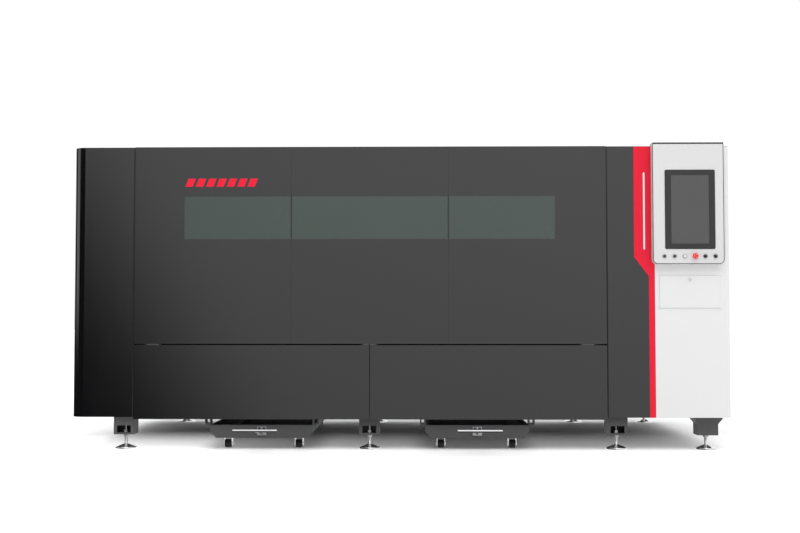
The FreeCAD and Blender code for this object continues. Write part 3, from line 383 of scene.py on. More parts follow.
def hex_head(bm, at, way, across, height, washer=0.0):
    """A hexagon bolt head or nut with a chamfered end, on a washer if one is asked for."""
    at, way = Vector(at), Vector(way)
    if washer:
        turn(bm, [(0, 0), (across * 0.85, 0), (across * 0.85, washer), (0, washer)], at, way, 24)
    base = at + way * washer
    r = across / math.sqrt(3)
    turn(bm, [(0, 0), (r, 0), (r, height * 0.85), (r * 0.87, height), (0, height)], base, way, 6)


def dome_screw(bm, at, way, r):
    """A button-head screw with a round socket."""
    h = r * 0.55
    profile = [(0, h * 0.35), (r * 0.38, h * 0.35), (r * 0.42, h * 0.95), (r * 0.62, h * 0.86),
               (r * 0.85, h * 0.55), (r, h * 0.12), (r, 0), (0, 0)]
    turn(bm, profile, at, way, 14)


def spread(low, high, pitch):
    """Even places from low to high, about a pitch apart."""
    count = max(1, round((high - low) / pitch))
    return [low + (high - low) * i / count for i in range(count + 1)]


# ---------------------------------------------------------------- feet and legs

def foot_places():
    """The middle of each levelling foot: the pads fall into one group per leg along x."""
    low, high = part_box("foot_pads")
    spans = []
    for x in sorted(vertex.co.x for vertex in nodes["foot_pads"].data.vertices):
        if not spans or x - spans[-1][1] > pad_r:
            spans.append([x, x])
        spans[-1][1] = x
    middles = [round((first + last) / 2, 3) for first, last in spans]
    return [(x, y) for y in (low.y + pad_r, high.y - pad_r) for x in middles]


def dress_feet():
    """Thread on each levelling stud, washers beside its nuts, and a back in each leg's window, finished
    black as painted shade for the inside of the leg.
    """
    pad_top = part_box("foot_pads")[1].z
    leg_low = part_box("legs")[0].z
    nut_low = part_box("foot_nuts")[0].z
    stud_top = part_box("foot_studs")[1].z
    nut_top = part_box("foot_nuts")[1].z
    threads = bmesh.new()
    washers = bmesh.new()
    root, crest, pitch = stud_r - 0.0002, stud_r + 0.0008, 0.0025
    for x, y in foot_places():
        for z0, z1 in ((pad_top + 0.022, nut_low - 0.0004), (nut_top + 0.0004, stud_top - 0.002)):
            profile = [(root, z0)]
            for z in spread(z0, z1 - pitch, pitch):
                profile += [(stud_r, z + 0.0003), (crest, z + pitch * 0.45), (crest, z + pitch * 0.6)]
            profile.append((root, z1))
            turn(threads, profile, (x, y, 0), (0, 0, 1), 24)
        collar = [(0.0112, 0), (0.024, 0), (0.0245, 0.0008), (0.024, 0.0024), (0.0112, 0.0024)]
        ring_loop(washers, collar, (x, y, leg_low + leg_plate + 0.0001), (0, 0, 1), 28)
    finish_piece("foot_threads", "machine_frame", "bright_steel", threads)
    places = foot_places()
    rows = sorted({y for x, y in places})
    last_x = max(x for x, y in places)
    # Painted shade: each window's back wears the black motor finish to stand in for the shadow inside the
    # leg.
    backs = bmesh.new()
    for x, y in places:
        if x < last_x - 0.01:
            way = 1 if y == rows[0] else -1
            y0, y1 = sorted((y + way * 0.0580, y + way * 0.0615))
            bottom, top = leg_low + leg_plate + 0.0005, leg_low + 0.070
            block(backs, (x - 0.056, y0, bottom), (x + 0.056, y1, top), 0.0008, 1)
    finish_piece("leg_window_shade_backs", "machine_frame", "motor_black", backs)
    finish_piece("foot_washers", "machine_frame", "bare_steel", washers)


# ---------------------------------------------------------------- carts

def cart_parts(side):
    """What the tray, its castors and its tow bar carry besides their own metal."""
    body = side + "_cart"
    low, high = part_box("cart_%s_tray" % side)
    fork_low, fork_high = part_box("cart_%s_forks" % side)
    lips = bmesh.new()
    wall, lip = 0.003, 0.016
    lip_z0, lip_z1 = high.z - 0.004, high.z - 0.0005
    for x0, x1 in ((low.x + wall, low.x + lip), (high.x - lip, high.x - wall)):
        block(lips, (x0, low.y + wall, lip_z0), (x1, high.y - wall, lip_z1), 0.001)
    block(lips, (low.x + lip, high.y - lip, lip_z0), (high.x - lip, high.y - wall, lip_z1), 0.001)
    finish_piece("cart_%s_lips" % side, body, "frame_paint", lips)

    ribs = bmesh.new()
    for y in spread(low.y + 0.15, high.y - 0.15, 0.32):
        for x, out in ((low.x, -0.004), (high.x, 0.004)):
            x0, x1 = sorted((x + out * 0.02, x + out))
            block(ribs, (x0, y - 0.012, low.z + 0.050), (x1, y + 0.012, high.z - 0.006), 0.0012)
    finish_piece("cart_%s_ribs" % side, body, "frame_paint", ribs)

    screws = bmesh.new()
    plate_z = fork_high.z - fork_sheet
    cheek = castor_half + 0.0006 + fork_sheet
    for x in (fork_low.x + 0.033, fork_high.x - 0.033):
        for y in (fork_low.y + 0.030, fork_high.y - 0.030):
            for dx in (-0.015, 0.015):
                for dy in (-0.0262, 0.0262):
                    hex_head(screws, (x + dx, y + dy, plate_z), (0, 0, -1), 0.0065, 0.004)
            for way in (-1, 1):
                hex_head(screws, (x + way * cheek, y, castor_axle_z), (way, 0, 0), 0.015, 0.0028, 0.0006)
    finish_piece("cart_%s_castor_bolts" % side, body, "bright_steel", screws)

    bar_low, bar_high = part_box("cart_%s_tow_bar" % side)
    end_z = bar_high.z - bar_r
    end_y = bar_low.y + bar_r
    plugs = bmesh.new()
    for x, way in ((bar_low.x, -1), (bar_high.x, 1)):
        cap = [(0, -0.004), (bar_r * 0.8, -0.004), (bar_r * 0.8, 0), (bar_r * 0.98, 0.0002),
               (bar_r * 0.98, 0.0016), (bar_r * 0.86, 0.0030), (0, 0.0034)]
        turn(plugs, cap, (x, end_y, end_z), (way, 0, 0), 24)
    finish_piece("cart_%s_bar_plugs" % side, body, "black_plastic", plugs)

    heads = bmesh.new()
    middle = (bar_low.x + bar_high.x) / 2
    face_y = low.y - 0.006
    for dx in (-0.016, 0.016):
        hex_head(heads, (middle + dx, face_y, 0.141), (0, -1, 0), 0.0135, 0.0075, 0.0012)
    finish_piece("cart_%s_plate_bolts" % side, body, "motor_black", heads)


def castor_wheels(side, end):
    """Crowned tyres with hollowed hubs, in place of the plain wheels."""
    node = "cart_%s_%s_wheels" % (side, end)
    low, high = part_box(node)
    r = (high.z - low.z) / 2
    half = castor_half
    y, z = (low.y + high.y) / 2, low.z + r
    bm = bmesh.new()
    side_profile = [(0.0052, 0.0), (0.0052, half), (0.0125, half), (0.0135, half - 0.001),
                    (0.0145, half - 0.006), (0.0215, half - 0.006), (0.0225, half - 0.001),
                    (0.0235, half - 0.0002), (0.0268, half - 0.0004), (0.0287, half - 0.0022),
                    (0.0295, half - 0.006), (0.0299, half - 0.013), (r, 0.0)]
    whole = side_profile + [(a, -b) for a, b in reversed(side_profile[1:-1])]
    for x in (low.x + half, high.x - half):
        ring_loop(bm, whole, (x, y, z), (1, 0, 0), 48)
    obj = finish_piece("cart_%s_%s_tyres" % (side, end), "%s_cart_%s_wheels" % (side, end),
                       "black_rubber", bm, 40)
    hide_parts(node)


# ---------------------------------------------------------------- console

def console_dress():
    """Edge trim round the console's face and round its top, in a dark finish that also paints the shade line
    along those edges.
    """
    low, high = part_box("console_box")
    face = low.y
    outer = rounded_outline(low.x, high.x, low.z, high.z, (0.033, 0.033, 0.006, 0.006))
    inner = rounded_outline(low.x + 0.0040, high.x - 0.0040, low.z + 0.0040, high.z - 0.0105,
                            (0.0290, 0.0290, 0.003, 0.003))
    # Painted shade: the dark band, wider along the top, stands in for the shade along the console's edges.
    trim = bmesh.new()
    band(trim, [(x, face - 0.0008, z) for x, z in outer], [(x, face - 0.0008, z) for x, z in inner],
         (0, 0.0030, 0))
    finish_piece("console_shade_line_trim", "machine_frame", "screen_frame", trim)

    gasket = bmesh.new()
    b0, b1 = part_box("screen_bezel")
    outer = rounded_outline(b0.x - 0.002, b1.x + 0.002, b0.z - 0.002, b1.z + 0.002, (0.011,) * 4)
    inner = rounded_outline(b0.x, b1.x, b0.z, b1.z, (0.009,) * 4)
    band(gasket, [(x, face - 0.0015, z) for x, z in outer], [(x, face - 0.0015, z) for x, z in inner],
         (0, 0.0015, 0))
    finish_piece("screen_gasket", "machine_frame", "black_rubber", gasket)

    rim = bmesh.new()
    g0, g1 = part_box("screen_glass")
    outer = rounded_outline(g0.x - 0.003, g1.x + 0.003, g0.z - 0.003, g1.z + 0.003, (0.003,) * 4)
    inner = rounded_outline(g0.x + 0.0005, g1.x - 0.0005, g0.z + 0.0005, g1.z - 0.0005, (0.001,) * 4)
    y = b0.y - 0.0004
    band(rim, [(x, y, z) for x, z in outer], [(x, y, z) for x, z in inner], (0, 0.0014, 0))
    finish_piece("display_rim", "machine_frame", "black_plastic", rim)


def button_places():
    """The middle of each switch, from the row of rings."""
    low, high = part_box("button_rings")
    r = (high.z - low.z) / 2
    z = low.z + r
    pitch = (high.x - low.x - 2 * r) / 5
    return [Vector((low.x + r + pitch * i, low.y, z)) for i in range(6)]


def button_caps():
    """Turned push buttons, the stop button's marked mushroom and the selectors' pointers."""
    places = button_places()
    for i in range(3):
        node = "button_%d" % (i + 1)
        low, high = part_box(node)
        slot = "pale_plastic" if i == 2 else "black_plastic"
        bm = bmesh.new()
        r = (high.x - low.x) / 2
        cap = [(0, -0.0006), (r * 0.55, -0.0004), (r * 0.72, -0.0008), (r * 0.86, -0.0012),
               (r * 0.96, -0.0006), (r, 0.0008), (r, 0.030), (0, 0.030)]
        at = Vector((places[i].x, low.y + 0.0012, places[i].z))
        turn(bm, cap, at, (0, 1, 0), 40)
        obj = finish_piece(node + "_cap", node, slot, bm)
        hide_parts(node)

    low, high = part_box("stop_button")
    r = (high.x - low.x) / 2
    centre = Vector((places[3].x, low.y, places[3].z))
    deep = high.y - low.y
    bm = bmesh.new()
    cap = [(0, 0.0004), (r * 0.30, 0.0), (r * 0.62, 0.0010), (r * 0.85, 0.0030), (r * 0.97, 0.0062),
           (r, 0.0090), (r * 0.99, 0.0115), (r * 0.93, 0.0135), (r * 0.80, 0.0140), (0.0115, 0.0142),
           (0.0105, 0.0170), (0.0090, 0.0190), (0.0088, deep), (0, deep)]
    turn(bm, cap, centre, (0, 1, 0), 56)
    obj = finish_piece("stop_mushroom", "stop_button", "red_plastic", bm)
    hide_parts("stop_button")
    marks = bmesh.new()
    for i in range(3):
        start = 30 + 120 * i
        arc = [math.radians(start + 8 * k) for k in range(8)]
        wide = [(r * (0.66 - 0.02 * k / 7), r * (0.54 + 0.02 * k / 7)) for k in range(8)]
        outer, inner = (
            [(centre.x + w[k] * math.cos(a), centre.y + 0.0006, centre.z + w[k] * math.sin(a))
             for a, w in zip(arc, wide)] for k in (0, 1))
        slab(marks, outer + inner[::-1], (0, 0.0012, 0))
    finish_piece("stop_mushroom_marks", "stop_button", "pale_plastic", marks)

    for name, place in (("selector_left", places[4]), ("selector_right", places[5])):
        low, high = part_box(name)
        bm = bmesh.new()
        block(bm, (place.x - 0.0009, low.y - 0.0002, place.z + 0.002),
              (place.x + 0.0009, low.y + 0.0008, place.z + 0.0105), 0.0003, 1)
        finish_piece(name + "_pointer", name, "pale_plastic", bm)


def switch_ring_knurls():
    """Fine ridges round each switch ring."""
    bm = bmesh.new()
    for place in button_places():
        for i in range(40):
            a = math.tau * i / 40
            x, z = place.x + 0.01462 * math.cos(a), place.z + 0.01462 * math.sin(a)
            ridge = [(0, 0.0014), (0.0005, 0.0015), (0.0005, 0.0038), (0, 0.0039)]
            turn(bm, ridge, (x, place.y, z), (0, 1, 0), 6)
    finish_piece("switch_ring_knurls", "machine_frame", "bare_steel", bm)


# ---------------------------------------------------------------- keyboard recess

def keyboard():
    """Rows of keys on the board in the recess, and the seal that the flap closes on."""
    low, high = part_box("keyboard_tray")
    middle = (low.x + high.x) / 2
    top = low.z + sheet + 0.022
    front = low.y + 0.020
    pitch, gap = 0.0193, 0.0014
    keys = bmesh.new()
    widths = [[1] * 17, [1.5] + [1] * 12 + [1.5, 1, 1], [1.75] + [1] * 11 + [2.25, 1, 1],
              [2.25] + [1] * 10 + [2.75, 1, 1], [1.25, 1.25, 1.25, 6, 1.25, 1.25, 1.25, 1.5, 1, 1],
              [1] * 17]
    for row, spans in enumerate(widths):
        y1 = front + 0.132 - row * pitch * 1.05
        x = middle - pitch * 17 / 2
        scale = 17 / sum(spans)
        for span in spans:
            wide = span * scale * pitch
            corner = (x + wide - gap / 2, y1, top + 0.0045)
            block(keys, (x + gap / 2, y1 - pitch + gap, top - 0.0005), corner, 0.0014, 2)
            x += wide
    finish_piece("keyboard_keys", "machine_frame", "black_plastic", keys)

    f0, f1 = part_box("keyboard_flap")
    face = low.y
    seal = bmesh.new()
    outer = rounded_outline(f0.x - 0.0020, f1.x + 0.0020, f0.z - 0.0005, f1.z + 0.0020, (0.002,) * 4, 4)
    inner = rounded_outline(f0.x - 0.0004, f1.x + 0.0004, f0.z + 0.0004, f1.z + 0.0004, (0.001,) * 4, 4)
    y = face - 0.0022 - 0.0016
    band(seal, [(x, y, z) for x, z in outer], [(x, y, z) for x, z in inner], (0, 0.0016, 0))
    finish_piece("flap_edge_seal", "machine_frame", "pale_plastic", seal)


# ---------------------------------------------------------------- plain generic marks

def plain_marks():
    """A row of plain slanted bars on the door and a thin plain line down the red strip."""
    low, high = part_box("door_skins")
    face = low.y
    bars = bmesh.new()
    left, right, z0, z1 = -1.476, -0.974, 1.806, 1.862
    slant, count, gap = 0.022, 7, 0.020
    wide = (right - left - slant - gap * (count - 1)) / count
    for i in range(count):
        x = left + i * (wide + gap)
        outline = [(x, face, z0), (x + wide, face, z0), (x + wide + slant, face, z1), (x + slant, face, z1)]
        slab(bars, outline, (0, -0.0005, 0))
    finish_piece("door_bars", "front_door", "red_panel", bars)

    s0, s1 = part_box("trim_strip")
    line = bmesh.new()
    middle = 1.678
    outline = rounded_outline(middle - 0.006, middle + 0.006, 1.37, 1.90, (0.006,) * 4, 6)
    slab(line, [(x, s0.y, z) for x, z in outline], (0, -0.0005, 0))
    finish_piece("strip_line", "machine_frame", "white_panel", line)


# ---------------------------------------------------------------- covers

def louvre(bm, at, along, out, up, length, height, deep):
    """One pressed louvre, open below and closed in at its ends."""
    at, along, out, up = Vector(at), Vector(along), Vector(out), Vector(up)
    section = ((0.0, 0.0), (1.0, 0.05), (1.0, 0.16), (0.86, 0.42), (0.5, 0.76), (0.0, 1.0))
    stations = ((-0.5, 0.02), (-0.47, 0.55), (-0.42, 0.90), (-0.36, 1.0), (0.36, 1.0), (0.42, 0.90),
                (0.47, 0.55), (0.5, 0.02))
    rings = []
    for s, scale in stations:
        ring = []
        for o, u in section:
            ring.append(bm.verts.new(at + along * (s * length) + out * (o * deep * scale)
                                     + up * (u * height * (0.4 + 0.6 * scale))))
        rings.append(ring)
    count = len(section)
    for a, b in zip(rings, rings[1:]):
        for i in range(count):
            j = (i + 1) % count
            bm.faces.new((a[i], a[j], b[j], b[i]))
    bm.faces.new(rings[0])
    bm.faces.new(rings[-1])


def louvre_rows(bm, at, along, out, length):
    """Twelve louvres, one above another."""
    for i in range(12):
        louvre(bm, Vector(at) + Vector((0, 0, 0.026 * i)), along, out, (0, 0, 1), length, 0.015, 0.0065)


def cabinet_door_dress():
    """Louvres, two flush latches and an edge hem on the cabinet's side door."""
    low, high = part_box("cabinet_door")
    face = high.x - knuckle_out
    middle = (low.y + high.y) / 2
    vents = bmesh.new()
    for base in (low.z + 0.10, high.z - 0.40):
        louvre_rows(vents, (face, middle, base), (0, 1, 0), (1, 0, 0), 0.46)
    finish_piece("side_door_louvres", "side_door", "white_panel", vents)

    latch = bmesh.new()
    paddle = bmesh.new()
    for z in (low.z + 0.55, low.z + 0.95):
        y0 = low.y + 0.035
        outline = rounded_outline(y0, y0 + 0.056, z, z + 0.118, (0.008,) * 4, 5)
        slab(latch, [(face, y, h) for y, h in outline], (0.0022, 0, 0))
        grip = (face + 0.0058, y0 + 0.044, z + 0.080)
        block(paddle, (face + 0.0018, y0 + 0.012, z + 0.012), grip, 0.0018, 3)
        barrel = [(0, 0.0016), (0.0062, 0.0016), (0.0068, 0.0022), (0.0066, 0.0042), (0.0020, 0.0046),
                  (0.0016, 0.0030), (0, 0.0030)]
        turn(paddle, barrel, (face, y0 + 0.028, z + 0.098), (1, 0, 0), 28)
    finish_piece("side_door_latch_plates", "side_door", "black_plastic", latch)
    finish_piece("side_door_paddles", "side_door", "lock_chrome", paddle)

    edge = bmesh.new()
    d0, d1 = low.y, high.y - 0.022
    outer = rounded_outline(d0, d1, low.z, high.z, (0.003,) * 4, 3)
    inner = rounded_outline(d0 + 0.003, d1 - 0.003, low.z + 0.003, high.z - 0.003, (0.002,) * 4, 3)
    band(edge, [(face - 0.0004, y, z) for y, z in outer], [(face - 0.0004, y, z) for y, z in inner],
         (0.0009, 0, 0))
    finish_piece("side_door_hem", "side_door", "white_panel", edge)


def rear_dress():
    """Screws and inner seam strips on the rear sheets, and louvres on the cabinet's rear sheet."""
    low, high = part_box("wall_panels")
    face = high.y
    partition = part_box("trim_strip")[0].x - sheet
    left, right = low.x - sheet / 2, high.x + sheet / 2
    step = (partition - left) / rear_sheets
    seams = [left + step * i for i in range(rear_sheets)] + [partition, right]
    screws = bmesh.new()
    for x0, x1 in zip(seams, seams[1:]):
        for x in (x0 + 0.022, x1 - 0.022):
            for z in spread(low.z + 0.06, high.z - 0.04, 0.36):
                dome_screw(screws, (x, face, z), (0, 1, 0), screw_r)
        for z in (low.z + 0.03, high.z - 0.02):
            for x in spread(x0 + 0.022, x1 - 0.022, 0.30)[1:-1]:
                dome_screw(screws, (x, face, z), (0, 1, 0), screw_r)
    finish_piece("rear_sheet_screws", "machine_frame", "motor_black", screws)
    strips = bmesh.new()
    for x in seams[1:-1]:
        far = (x + strip_half, face - 0.0022, high.z - 0.003)
        block(strips, (x - strip_half, face - 0.0040, low.z + 0.002), far, 0.0004, 1)
    finish_piece("rear_seam_strips", "machine_frame", "black_rubber", strips)

    vents = bmesh.new()
    middle = (seams[4] + seams[5]) / 2
    for base in (0.95, 1.45):
        for dx in (-0.135, 0.135):
            louvre_rows(vents, (middle + dx, face, base), (1, 0, 0), (0, 1, 0), 0.23)
    finish_piece("rear_louvres", "machine_frame", "dark_panel", vents)


def roof_dress():
    """Screws and inner seam strips on the roof sheets."""
    low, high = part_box("roof_panels")
    top = high.z
    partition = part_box("trim_strip")[0].x - sheet
    step = (partition - low.x) / roof_sheets
    seams = [low.x + step * i for i in range(roof_sheets)] + [partition, high.x]
    door_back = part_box("door_frame")[1].y + 0.030
    screws = bmesh.new()
    for x0, x1 in zip(seams, seams[1:]):
        for y in (door_back, high.y - 0.030):
            for x in spread(x0 + 0.10, x1 - 0.10, 0.34):
                dome_screw(screws, (x, y, top), (0, 0, 1), screw_r)
        for x in (x0 + 0.030, x1 - 0.030):
            for y in spread(door_back + 0.18, high.y - 0.20, 0.38):
                dome_screw(screws, (x, y, top), (0, 0, 1), screw_r)
    finish_piece("roof_screws", "machine_frame", "motor_black", screws)
    strips = bmesh.new()
    for x in seams[1:-1]:
        far = (x + strip_half, high.y - 0.003, top - 0.0022)
        block(strips, (x - strip_half, door_back + 0.02, top - 0.0040), far, 0.0004, 1)
    finish_piece("roof_seam_strips", "machine_frame", "black_rubber", strips)


def exhaust_dress():
    """Flange bolts and a rolled bead on the fume outlet."""
    low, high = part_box("exhaust_spigot")
    x, z = (low.x + high.x) / 2, (low.z + high.z) / 2
    bolts = bmesh.new()
    for i in range(8):
        a = math.tau * (i + 0.5) / 8
        at = (x + 0.115 * math.cos(a), low.y + 0.003, z + 0.115 * math.sin(a))
        hex_head(bolts, at, (0, 1, 0), 0.013, 0.006, 0.0014)
    finish_piece("exhaust_bolts", "machine_frame", "bright_steel", bolts)
    bead = bmesh.new()
    section = [(0.1000 + 0.0032 * math.sin(math.pi * k / 8), 0.078 - 0.0045 * math.cos(math.pi * k / 8))
               for k in range(9)]
    ring_loop(bead, section, (x, low.y, z), (0, 1, 0), 72)
    finish_piece("exhaust_bead", "machine_frame", "bright_steel", bead)


def port_dress():
    """Hexagon collars and barbs on the rear water and gas ports."""
    low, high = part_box("service_ports")
    z = (low.z + high.z) / 2
    bm = bmesh.new()
    for x, r in ports:
        at = Vector((x, low.y + 0.008, z))
        hexagon = r * 2.15
        corner = hexagon / math.sqrt(3)
        bore = r * 1.001
        collar = [(bore, 0), (corner, 0), (corner, 0.008), (corner * 0.9, 0.0095), (bore, 0.0095)]
        ring_loop(bm, collar, at, (0, 1, 0), 6)
        for k in range(3):
            y0 = 0.014 + 0.006 * k
            ring_loop(bm, [(bore, y0), (r * 1.10, y0), (bore, y0 + 0.0045)], at, (0, 1, 0), 32)
    finish_piece("port_collars", "machine_frame", "port_brass", bm)


def door_dress():
    """Window seals inside the lifting door, and the seals its sides close against."""
    strips = bmesh.new()
    for name, inner_x, out in (("left_panel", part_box("left_panel")[1].x, -0.010),
                               ("front_panel_right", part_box("front_panel_right")[0].x, 0.007)):
        low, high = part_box(name)
        x0, x1 = sorted((inner_x, inner_x + out))
        block(strips, (x0, low.y - 0.0008, low.z + 0.001), (x1, low.y + 0.0012, high.z - 0.001), 0.0006)
    finish_piece("door_side_seals", "machine_frame", "black_rubber", strips)

    low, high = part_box("door_windows")
    seal = bmesh.new()
    outer = rounded_outline(low.x - 0.006, high.x + 0.006, low.z - 0.006, high.z + 0.006, (0.01,) * 4, 5)
    inner = rounded_outline(low.x + 0.006, high.x - 0.006, low.z + 0.006, high.z - 0.006, (0.006,) * 4, 5)
    band(seal, [(x, high.y + 0.0004, z) for x, z in outer], [(x, high.y + 0.0004, z) for x, z in inner],
         (0, 0.004, 0))
    finish_piece("window_seal", "front_door", "black_rubber", seal)


# ---------------------------------------------------------------- gantry and head

def rail_cap(bm, at, way, r):
    """A cap pressed almost level into a rail's screw hole."""
    rim, depth = 0.00012, -0.0004
    turn(bm, [(0, rim), (r - 0.0004, rim), (r, 0.00002), (r, depth), (0, depth)], at, way, 16)


def rail_caps():
    """Screw caps along the ground rails."""
    bm = bmesh.new()
    r0, r1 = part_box("long_rails")
    for y in (r0.y + long_rail_w / 2, r1.y - long_rail_w / 2):
        for x in spread(r0.x + 0.03, r1.x - 0.03, 0.08):
            rail_cap(bm, (x, y, r1.z), (0, 0, 1), 0.0086)
    finish_piece("long_rail_caps", "machine_frame", "motor_black", bm)
    bm = bmesh.new()
    c0, c1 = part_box("cross_rails")
    for z in (c0.z + 0.012, c1.z - 0.012):
        for y in spread(c0.y + 0.03, c1.y - 0.03, 0.08):
            rail_cap(bm, (c1.x, y, z), (1, 0, 0), 0.0066)
    finish_piece("cross_rail_caps", "gantry", "motor_black", bm)


def gantry_dress():
    """Bolts on the end plates, plugs in the beam's ends, and each motor's cap, ribs and plug."""
    low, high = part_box("gantry_beam")
    d0, d1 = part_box("gantry_drives")
    beam_z0 = high.z - beam_h
    bolts = bmesh.new()
    for y0, way in ((low.y, 1), (high.y, -1)):
        for dy in (0.030, 0.080):
            hex_head(bolts, (high.x - 0.035, y0 + way * dy, beam_z0), (0, 0, 1), 0.016, 0.009, 0.002)
    for y, way in ((low.y, -1), (high.y, 1)):
        for x in (high.x - 0.240, high.x - 0.120):
            for z in (beam_z0 + 0.03, high.z - 0.03):
                dome_screw(bolts, (x, y, z), (0, way, 0), 0.004)
    finish_piece("gantry_bolts", "gantry", "bright_steel", bolts)
    plugs = bmesh.new()
    for y0, y1 in ((low.y, low.y + 0.004), (high.y - 0.004, high.y)):
        far = (high.x - 0.0785, y1, high.z - 0.0085)
        block(plugs, (high.x - 0.2815, y0, beam_z0 + 0.0085), far, 0.0008, 1)
    finish_piece("beam_end_plugs", "gantry", "motor_black", plugs)

    motors = bmesh.new()
    x, z = (d0.x + d1.x) / 2, d1.z - 0.045
    for start, way in ((d0.y, 1), (d1.y, -1)):
        y = start + way * 0.085
        for k in range(9):
            ring_loop(motors, [(0.0399, 0), (0.0424, 0.001), (0.0424, 0.004), (0.0399, 0.005)],
                      (x, y + way * (0.020 + 0.013 * k), z), (0, way, 0), 40)
        end = y + way * 0.170
        cap = [(0, -0.001), (0.036, -0.001), (0.036, 0.020), (0.033, 0.026), (0.020, 0.028), (0, 0.028)]
        turn(motors, cap, (x, end, z), (0, way, 0), 40)
        y0, y1 = sorted((end - way * 0.050, end - way * 0.012))
        block(motors, (x - 0.016, y0, z + 0.036), (x + 0.016, y1, z + 0.056), 0.003, 2)
        turn(motors, [(0, 0), (0.010, 0), (0.010, 0.012), (0.0075, 0.014), (0.0075, 0.024), (0, 0.024)],
             (x + 0.014, (y0 + y1) / 2, z + 0.046), (1, 0, 0), 24)
    finish_piece("motor_fittings", "gantry", "motor_black", motors)


def head_dress():
    """Turned rings, the nozzle's collar, the lens drawer and the carriage's bolts."""
    low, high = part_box("cutting_head")
    x, y = (low.x + high.x) / 2, (low.y + high.y) / 2
    case_z0, case_z1 = high.z - 0.250, high.z - 0.070
    rings = bmesh.new()
    for z in (low.z + 0.010, low.z + 0.028, low.z + 0.050):
        ring_loop(rings, [(0.0338, 0), (0.0358, 0.0008), (0.0365, 0.003), (0.0365, 0.008), (0.0358, 0.0102),
                          (0.0338, 0.011)], (x, y, z), (0, 0, 1), 48)
    for z in (case_z1 + 0.004, case_z1 + 0.030):
        ring_loop(rings, [(0.0158, 0), (0.020, 0), (0.021, 0.002), (0.021, 0.010), (0.020, 0.012),
                          (0.0158, 0.012)], (x, y, z), (0, 0, 1), 40)
    finish_piece("head_rings", "head", "bare_steel", rings)
    collar = bmesh.new()
    ring_loop(collar, [(0.0142, -0.006), (0.0195, -0.005), (0.0205, -0.001), (0.0205, 0.0), (0.0142, 0.0)],
              (x, y, low.z), (0, 0, 1), 40)
    finish_piece("nozzle_collar", "head", "black_plastic", collar)
    drawer = bmesh.new()
    front = high.x - 0.001
    far = (high.x + 0.004, y + 0.026, case_z0 + 0.052)
    block(drawer, (front, y - 0.026, case_z0 + 0.020), far, 0.0015)
    for dy in (-0.018, 0.018):
        turn(drawer, [(0, 0), (0.006, 0), (0.0065, 0.001), (0.0065, 0.009), (0.0055, 0.010), (0, 0.010)],
             (high.x + 0.004, y + dy, case_z0 + 0.036), (1, 0, 0), 20)
    far = (high.x + 0.002, y + 0.024, case_z0 + 0.160)
    block(drawer, (front, y - 0.024, case_z0 + 0.110), far, 0.001)
    finish_piece("head_drawer", "head", "motor_black", drawer)
    p0, p1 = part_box("cross_carriage")
    plate_x = p1.x - 0.016
    bolts = bmesh.new()
    for by in (p0.y + 0.018, p1.y - 0.018):
        for bz in spread(p0.z + 0.020, p1.z - 0.020, 0.05):
            hex_head(bolts, (plate_x, by, bz), (1, 0, 0), 0.010, 0.005, 0.001)
    finish_piece("carriage_bolts", "carriage", "bright_steel", bolts)


def source_dress():
    """Fan grilles on the laser source's side."""
    low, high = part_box("laser_source")
    face = high.x
    z = (low.z + high.z) / 2
    bm = bmesh.new()
    for y in (low.y + 0.20, high.y - 0.20):
        for r in (0.020, 0.035, 0.050, 0.065, 0.080):
            ring_loop(bm, [(r - 0.0022, 0), (r - 0.0012, 0.003), (r + 0.0012, 0.003), (r + 0.0022, 0)],
                      (face, y, z), (1, 0, 0), 48)
        for i in range(4):
            a = math.pi * i / 4
            dy, dz = 0.082 * math.cos(a), 0.082 * math.sin(a)
            across = Vector((0, -dz, dy)).normalized() * 0.002
            line = [Vector((face, y - dy, z - dz)) - across, Vector((face, y + dy, z + dz)) - across,
                    Vector((face, y + dy, z + dz)) + across, Vector((face, y - dy, z - dz)) + across]
            slab(bm, line, (0.0024, 0, 0))
    finish_piece("source_grilles", "machine_frame", "motor_black", bm)


# ---------------------------------------------------------------- stage, light and camera

def stage_floor():
    f = Finish("pale_studio_floor", Specular_IOR_Level=0.1)
    x = f.node("SeparateXYZ", None, {0: f.place}, out="X")
    y = f.node("SeparateXYZ", None, {0: f.place}, out="Y")
    # Painted light: the floor glows in front of the machine and more towards its left, to lighten the shadow
    # under it.
    painted_glow = (1.0 - y.eased(-0.95, 0.45)) * (0.25 + (1.0 - x.eased(-1.7, -0.2)) * 0.55)
    # Painted shadow: under each cart the glow is cut to about a third.
    for middle in (-0.947, 0.534):
        clear_of_painted_cart_shadow = (x - middle).math("ABSOLUTE").eased(0.28, 0.50)
        painted_glow = painted_glow * (0.35 + clear_of_painted_cart_shadow * 0.65)
    # Painted light: a faint glow beyond the machine's left end.
    painted_glow = painted_glow.larger((1.0 - x.eased(-2.6, -2.1)) * 0.3)
    f.set(
        Base_Color=f.mix(f.noise(2.0) * 0.03, (0.90, 0.90, 0.905), (0.86, 0.86, 0.87)),
        Roughness=0.7,
        Emission_Color=f.mix(painted_glow, (0, 0, 0), (1, 1, 1)),
        Emission_Strength=1.0,
    )
    mesh = bpy.data.meshes.new("studio_floor")
    half = 150.0
    corners = [(-half, -half, 0), (half, -half, 0), (half, half, 0), (-half, half, 0)]
    mesh.from_pydata(corners, [], [(0, 1, 2, 3)])
    obj = bpy.data.objects.new("studio_floor", mesh)
    scene.collection.objects.link(obj)
    obj.data.materials.append(f.material)
    obj.location.z = -0.0005
    obj.visible_glossy = False


def lamp(name, kind, place, target, **settings):
    light = bpy.data.lights.new(name, kind)
    for key, value in settings.items():
        setattr(light, key, value)
    obj = bpy.data.objects.new(name, light)
    scene.collection.objects.link(obj)
    obj.location = place
    obj.rotation_euler = (Vector(target) - Vector(place)).to_track_quat("-Z", "Y").to_euler()


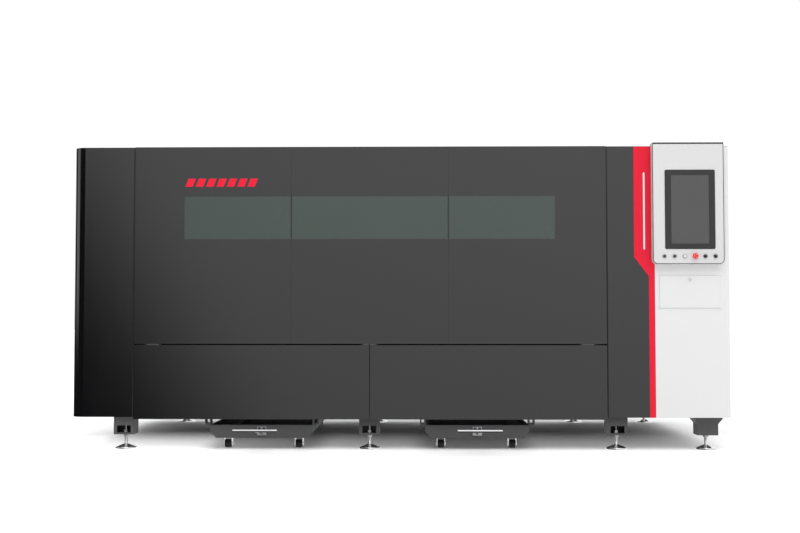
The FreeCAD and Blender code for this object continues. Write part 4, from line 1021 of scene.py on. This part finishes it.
def studio_sky():
    """A front card that darkens low and to the left, white aside, above and behind, grey below."""
    world = bpy.data.worlds.new("studio sky")
    world.use_nodes = True
    sky = NodeTree(world.node_tree)
    back = next(n for n in sky.tree.nodes if n.type == "BACKGROUND")
    where = sky.node("TexCoord", out="Generated")
    x = sky.node("SeparateXYZ", None, {0: where}, out="X")
    y = sky.node("SeparateXYZ", None, {0: where}, out="Y")
    z = sky.node("SeparateXYZ", None, {0: where}, out="Z")
    lit = 0.68 + x.above(-0.2, 0.2) * 0.12 + z.above(-0.07, 0.13) * 0.22
    card = lit * (x + z * 0.54).eased(-0.285, -0.13)
    band = y.eased(-0.48, -0.30) * (1.0 - y.eased(0.10, 0.32)) * z.eased(-0.03, 0.03)
    high = z.eased(0.15, 0.32)
    aside = band.larger(high).larger(y.eased(0.60, 0.75)) * y.eased(-0.88, -0.70)
    low = (1.0 - z.eased(-0.24, -0.12)) * 0.55
    sky.link(back.inputs["Color"], sky.mix(card.larger(aside).larger(low), (0, 0, 0), (1, 1, 1)))
    back.inputs["Strength"].default_value = 1.02
    scene.world = world


def camera():
    """0.87 m up, a little right of the middle, turned 1.1 degrees left and 2.5 up."""
    front_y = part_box("trim_strip")[0].y
    data = bpy.data.cameras.new("camera")
    data.sensor_width = 36.0
    data.lens = 55.755
    data.shift_x = 0.0116
    data.shift_y = 0.0017
    data.clip_end = 400.0
    obj = bpy.data.objects.new("camera", data)
    scene.collection.objects.link(obj)
    obj.location = (0.105, front_y - 8.505, 0.870)
    obj.rotation_euler = (math.radians(90 + 2.527), 0, math.radians(1.105))
    scene.camera = obj


dress_frame()
dress_feet()
for side in ("left", "right"):
    cart_parts(side)
    for end in ("front", "rear"):
        castor_wheels(side, end)
console_dress()
button_caps()
switch_ring_knurls()
keyboard()
plain_marks()
cabinet_door_dress()
rear_dress()
roof_dress()
exhaust_dress()
port_dress()
door_dress()
rail_caps()
gantry_dress()
head_dress()
source_dress()
stage_floor()
studio_sky()
lamp("overhead", "SUN", (0.5, -5, 10), (0, 0, 0), energy=1.2, angle=math.radians(70))
lamp("high_front", "AREA", (0.5, -8.0, 6.5), (0, -0.5, 0.6), shape="RECTANGLE", size=7.0, size_y=2.5,
     energy=95)
camera()
scene.view_settings.view_transform = "Standard"
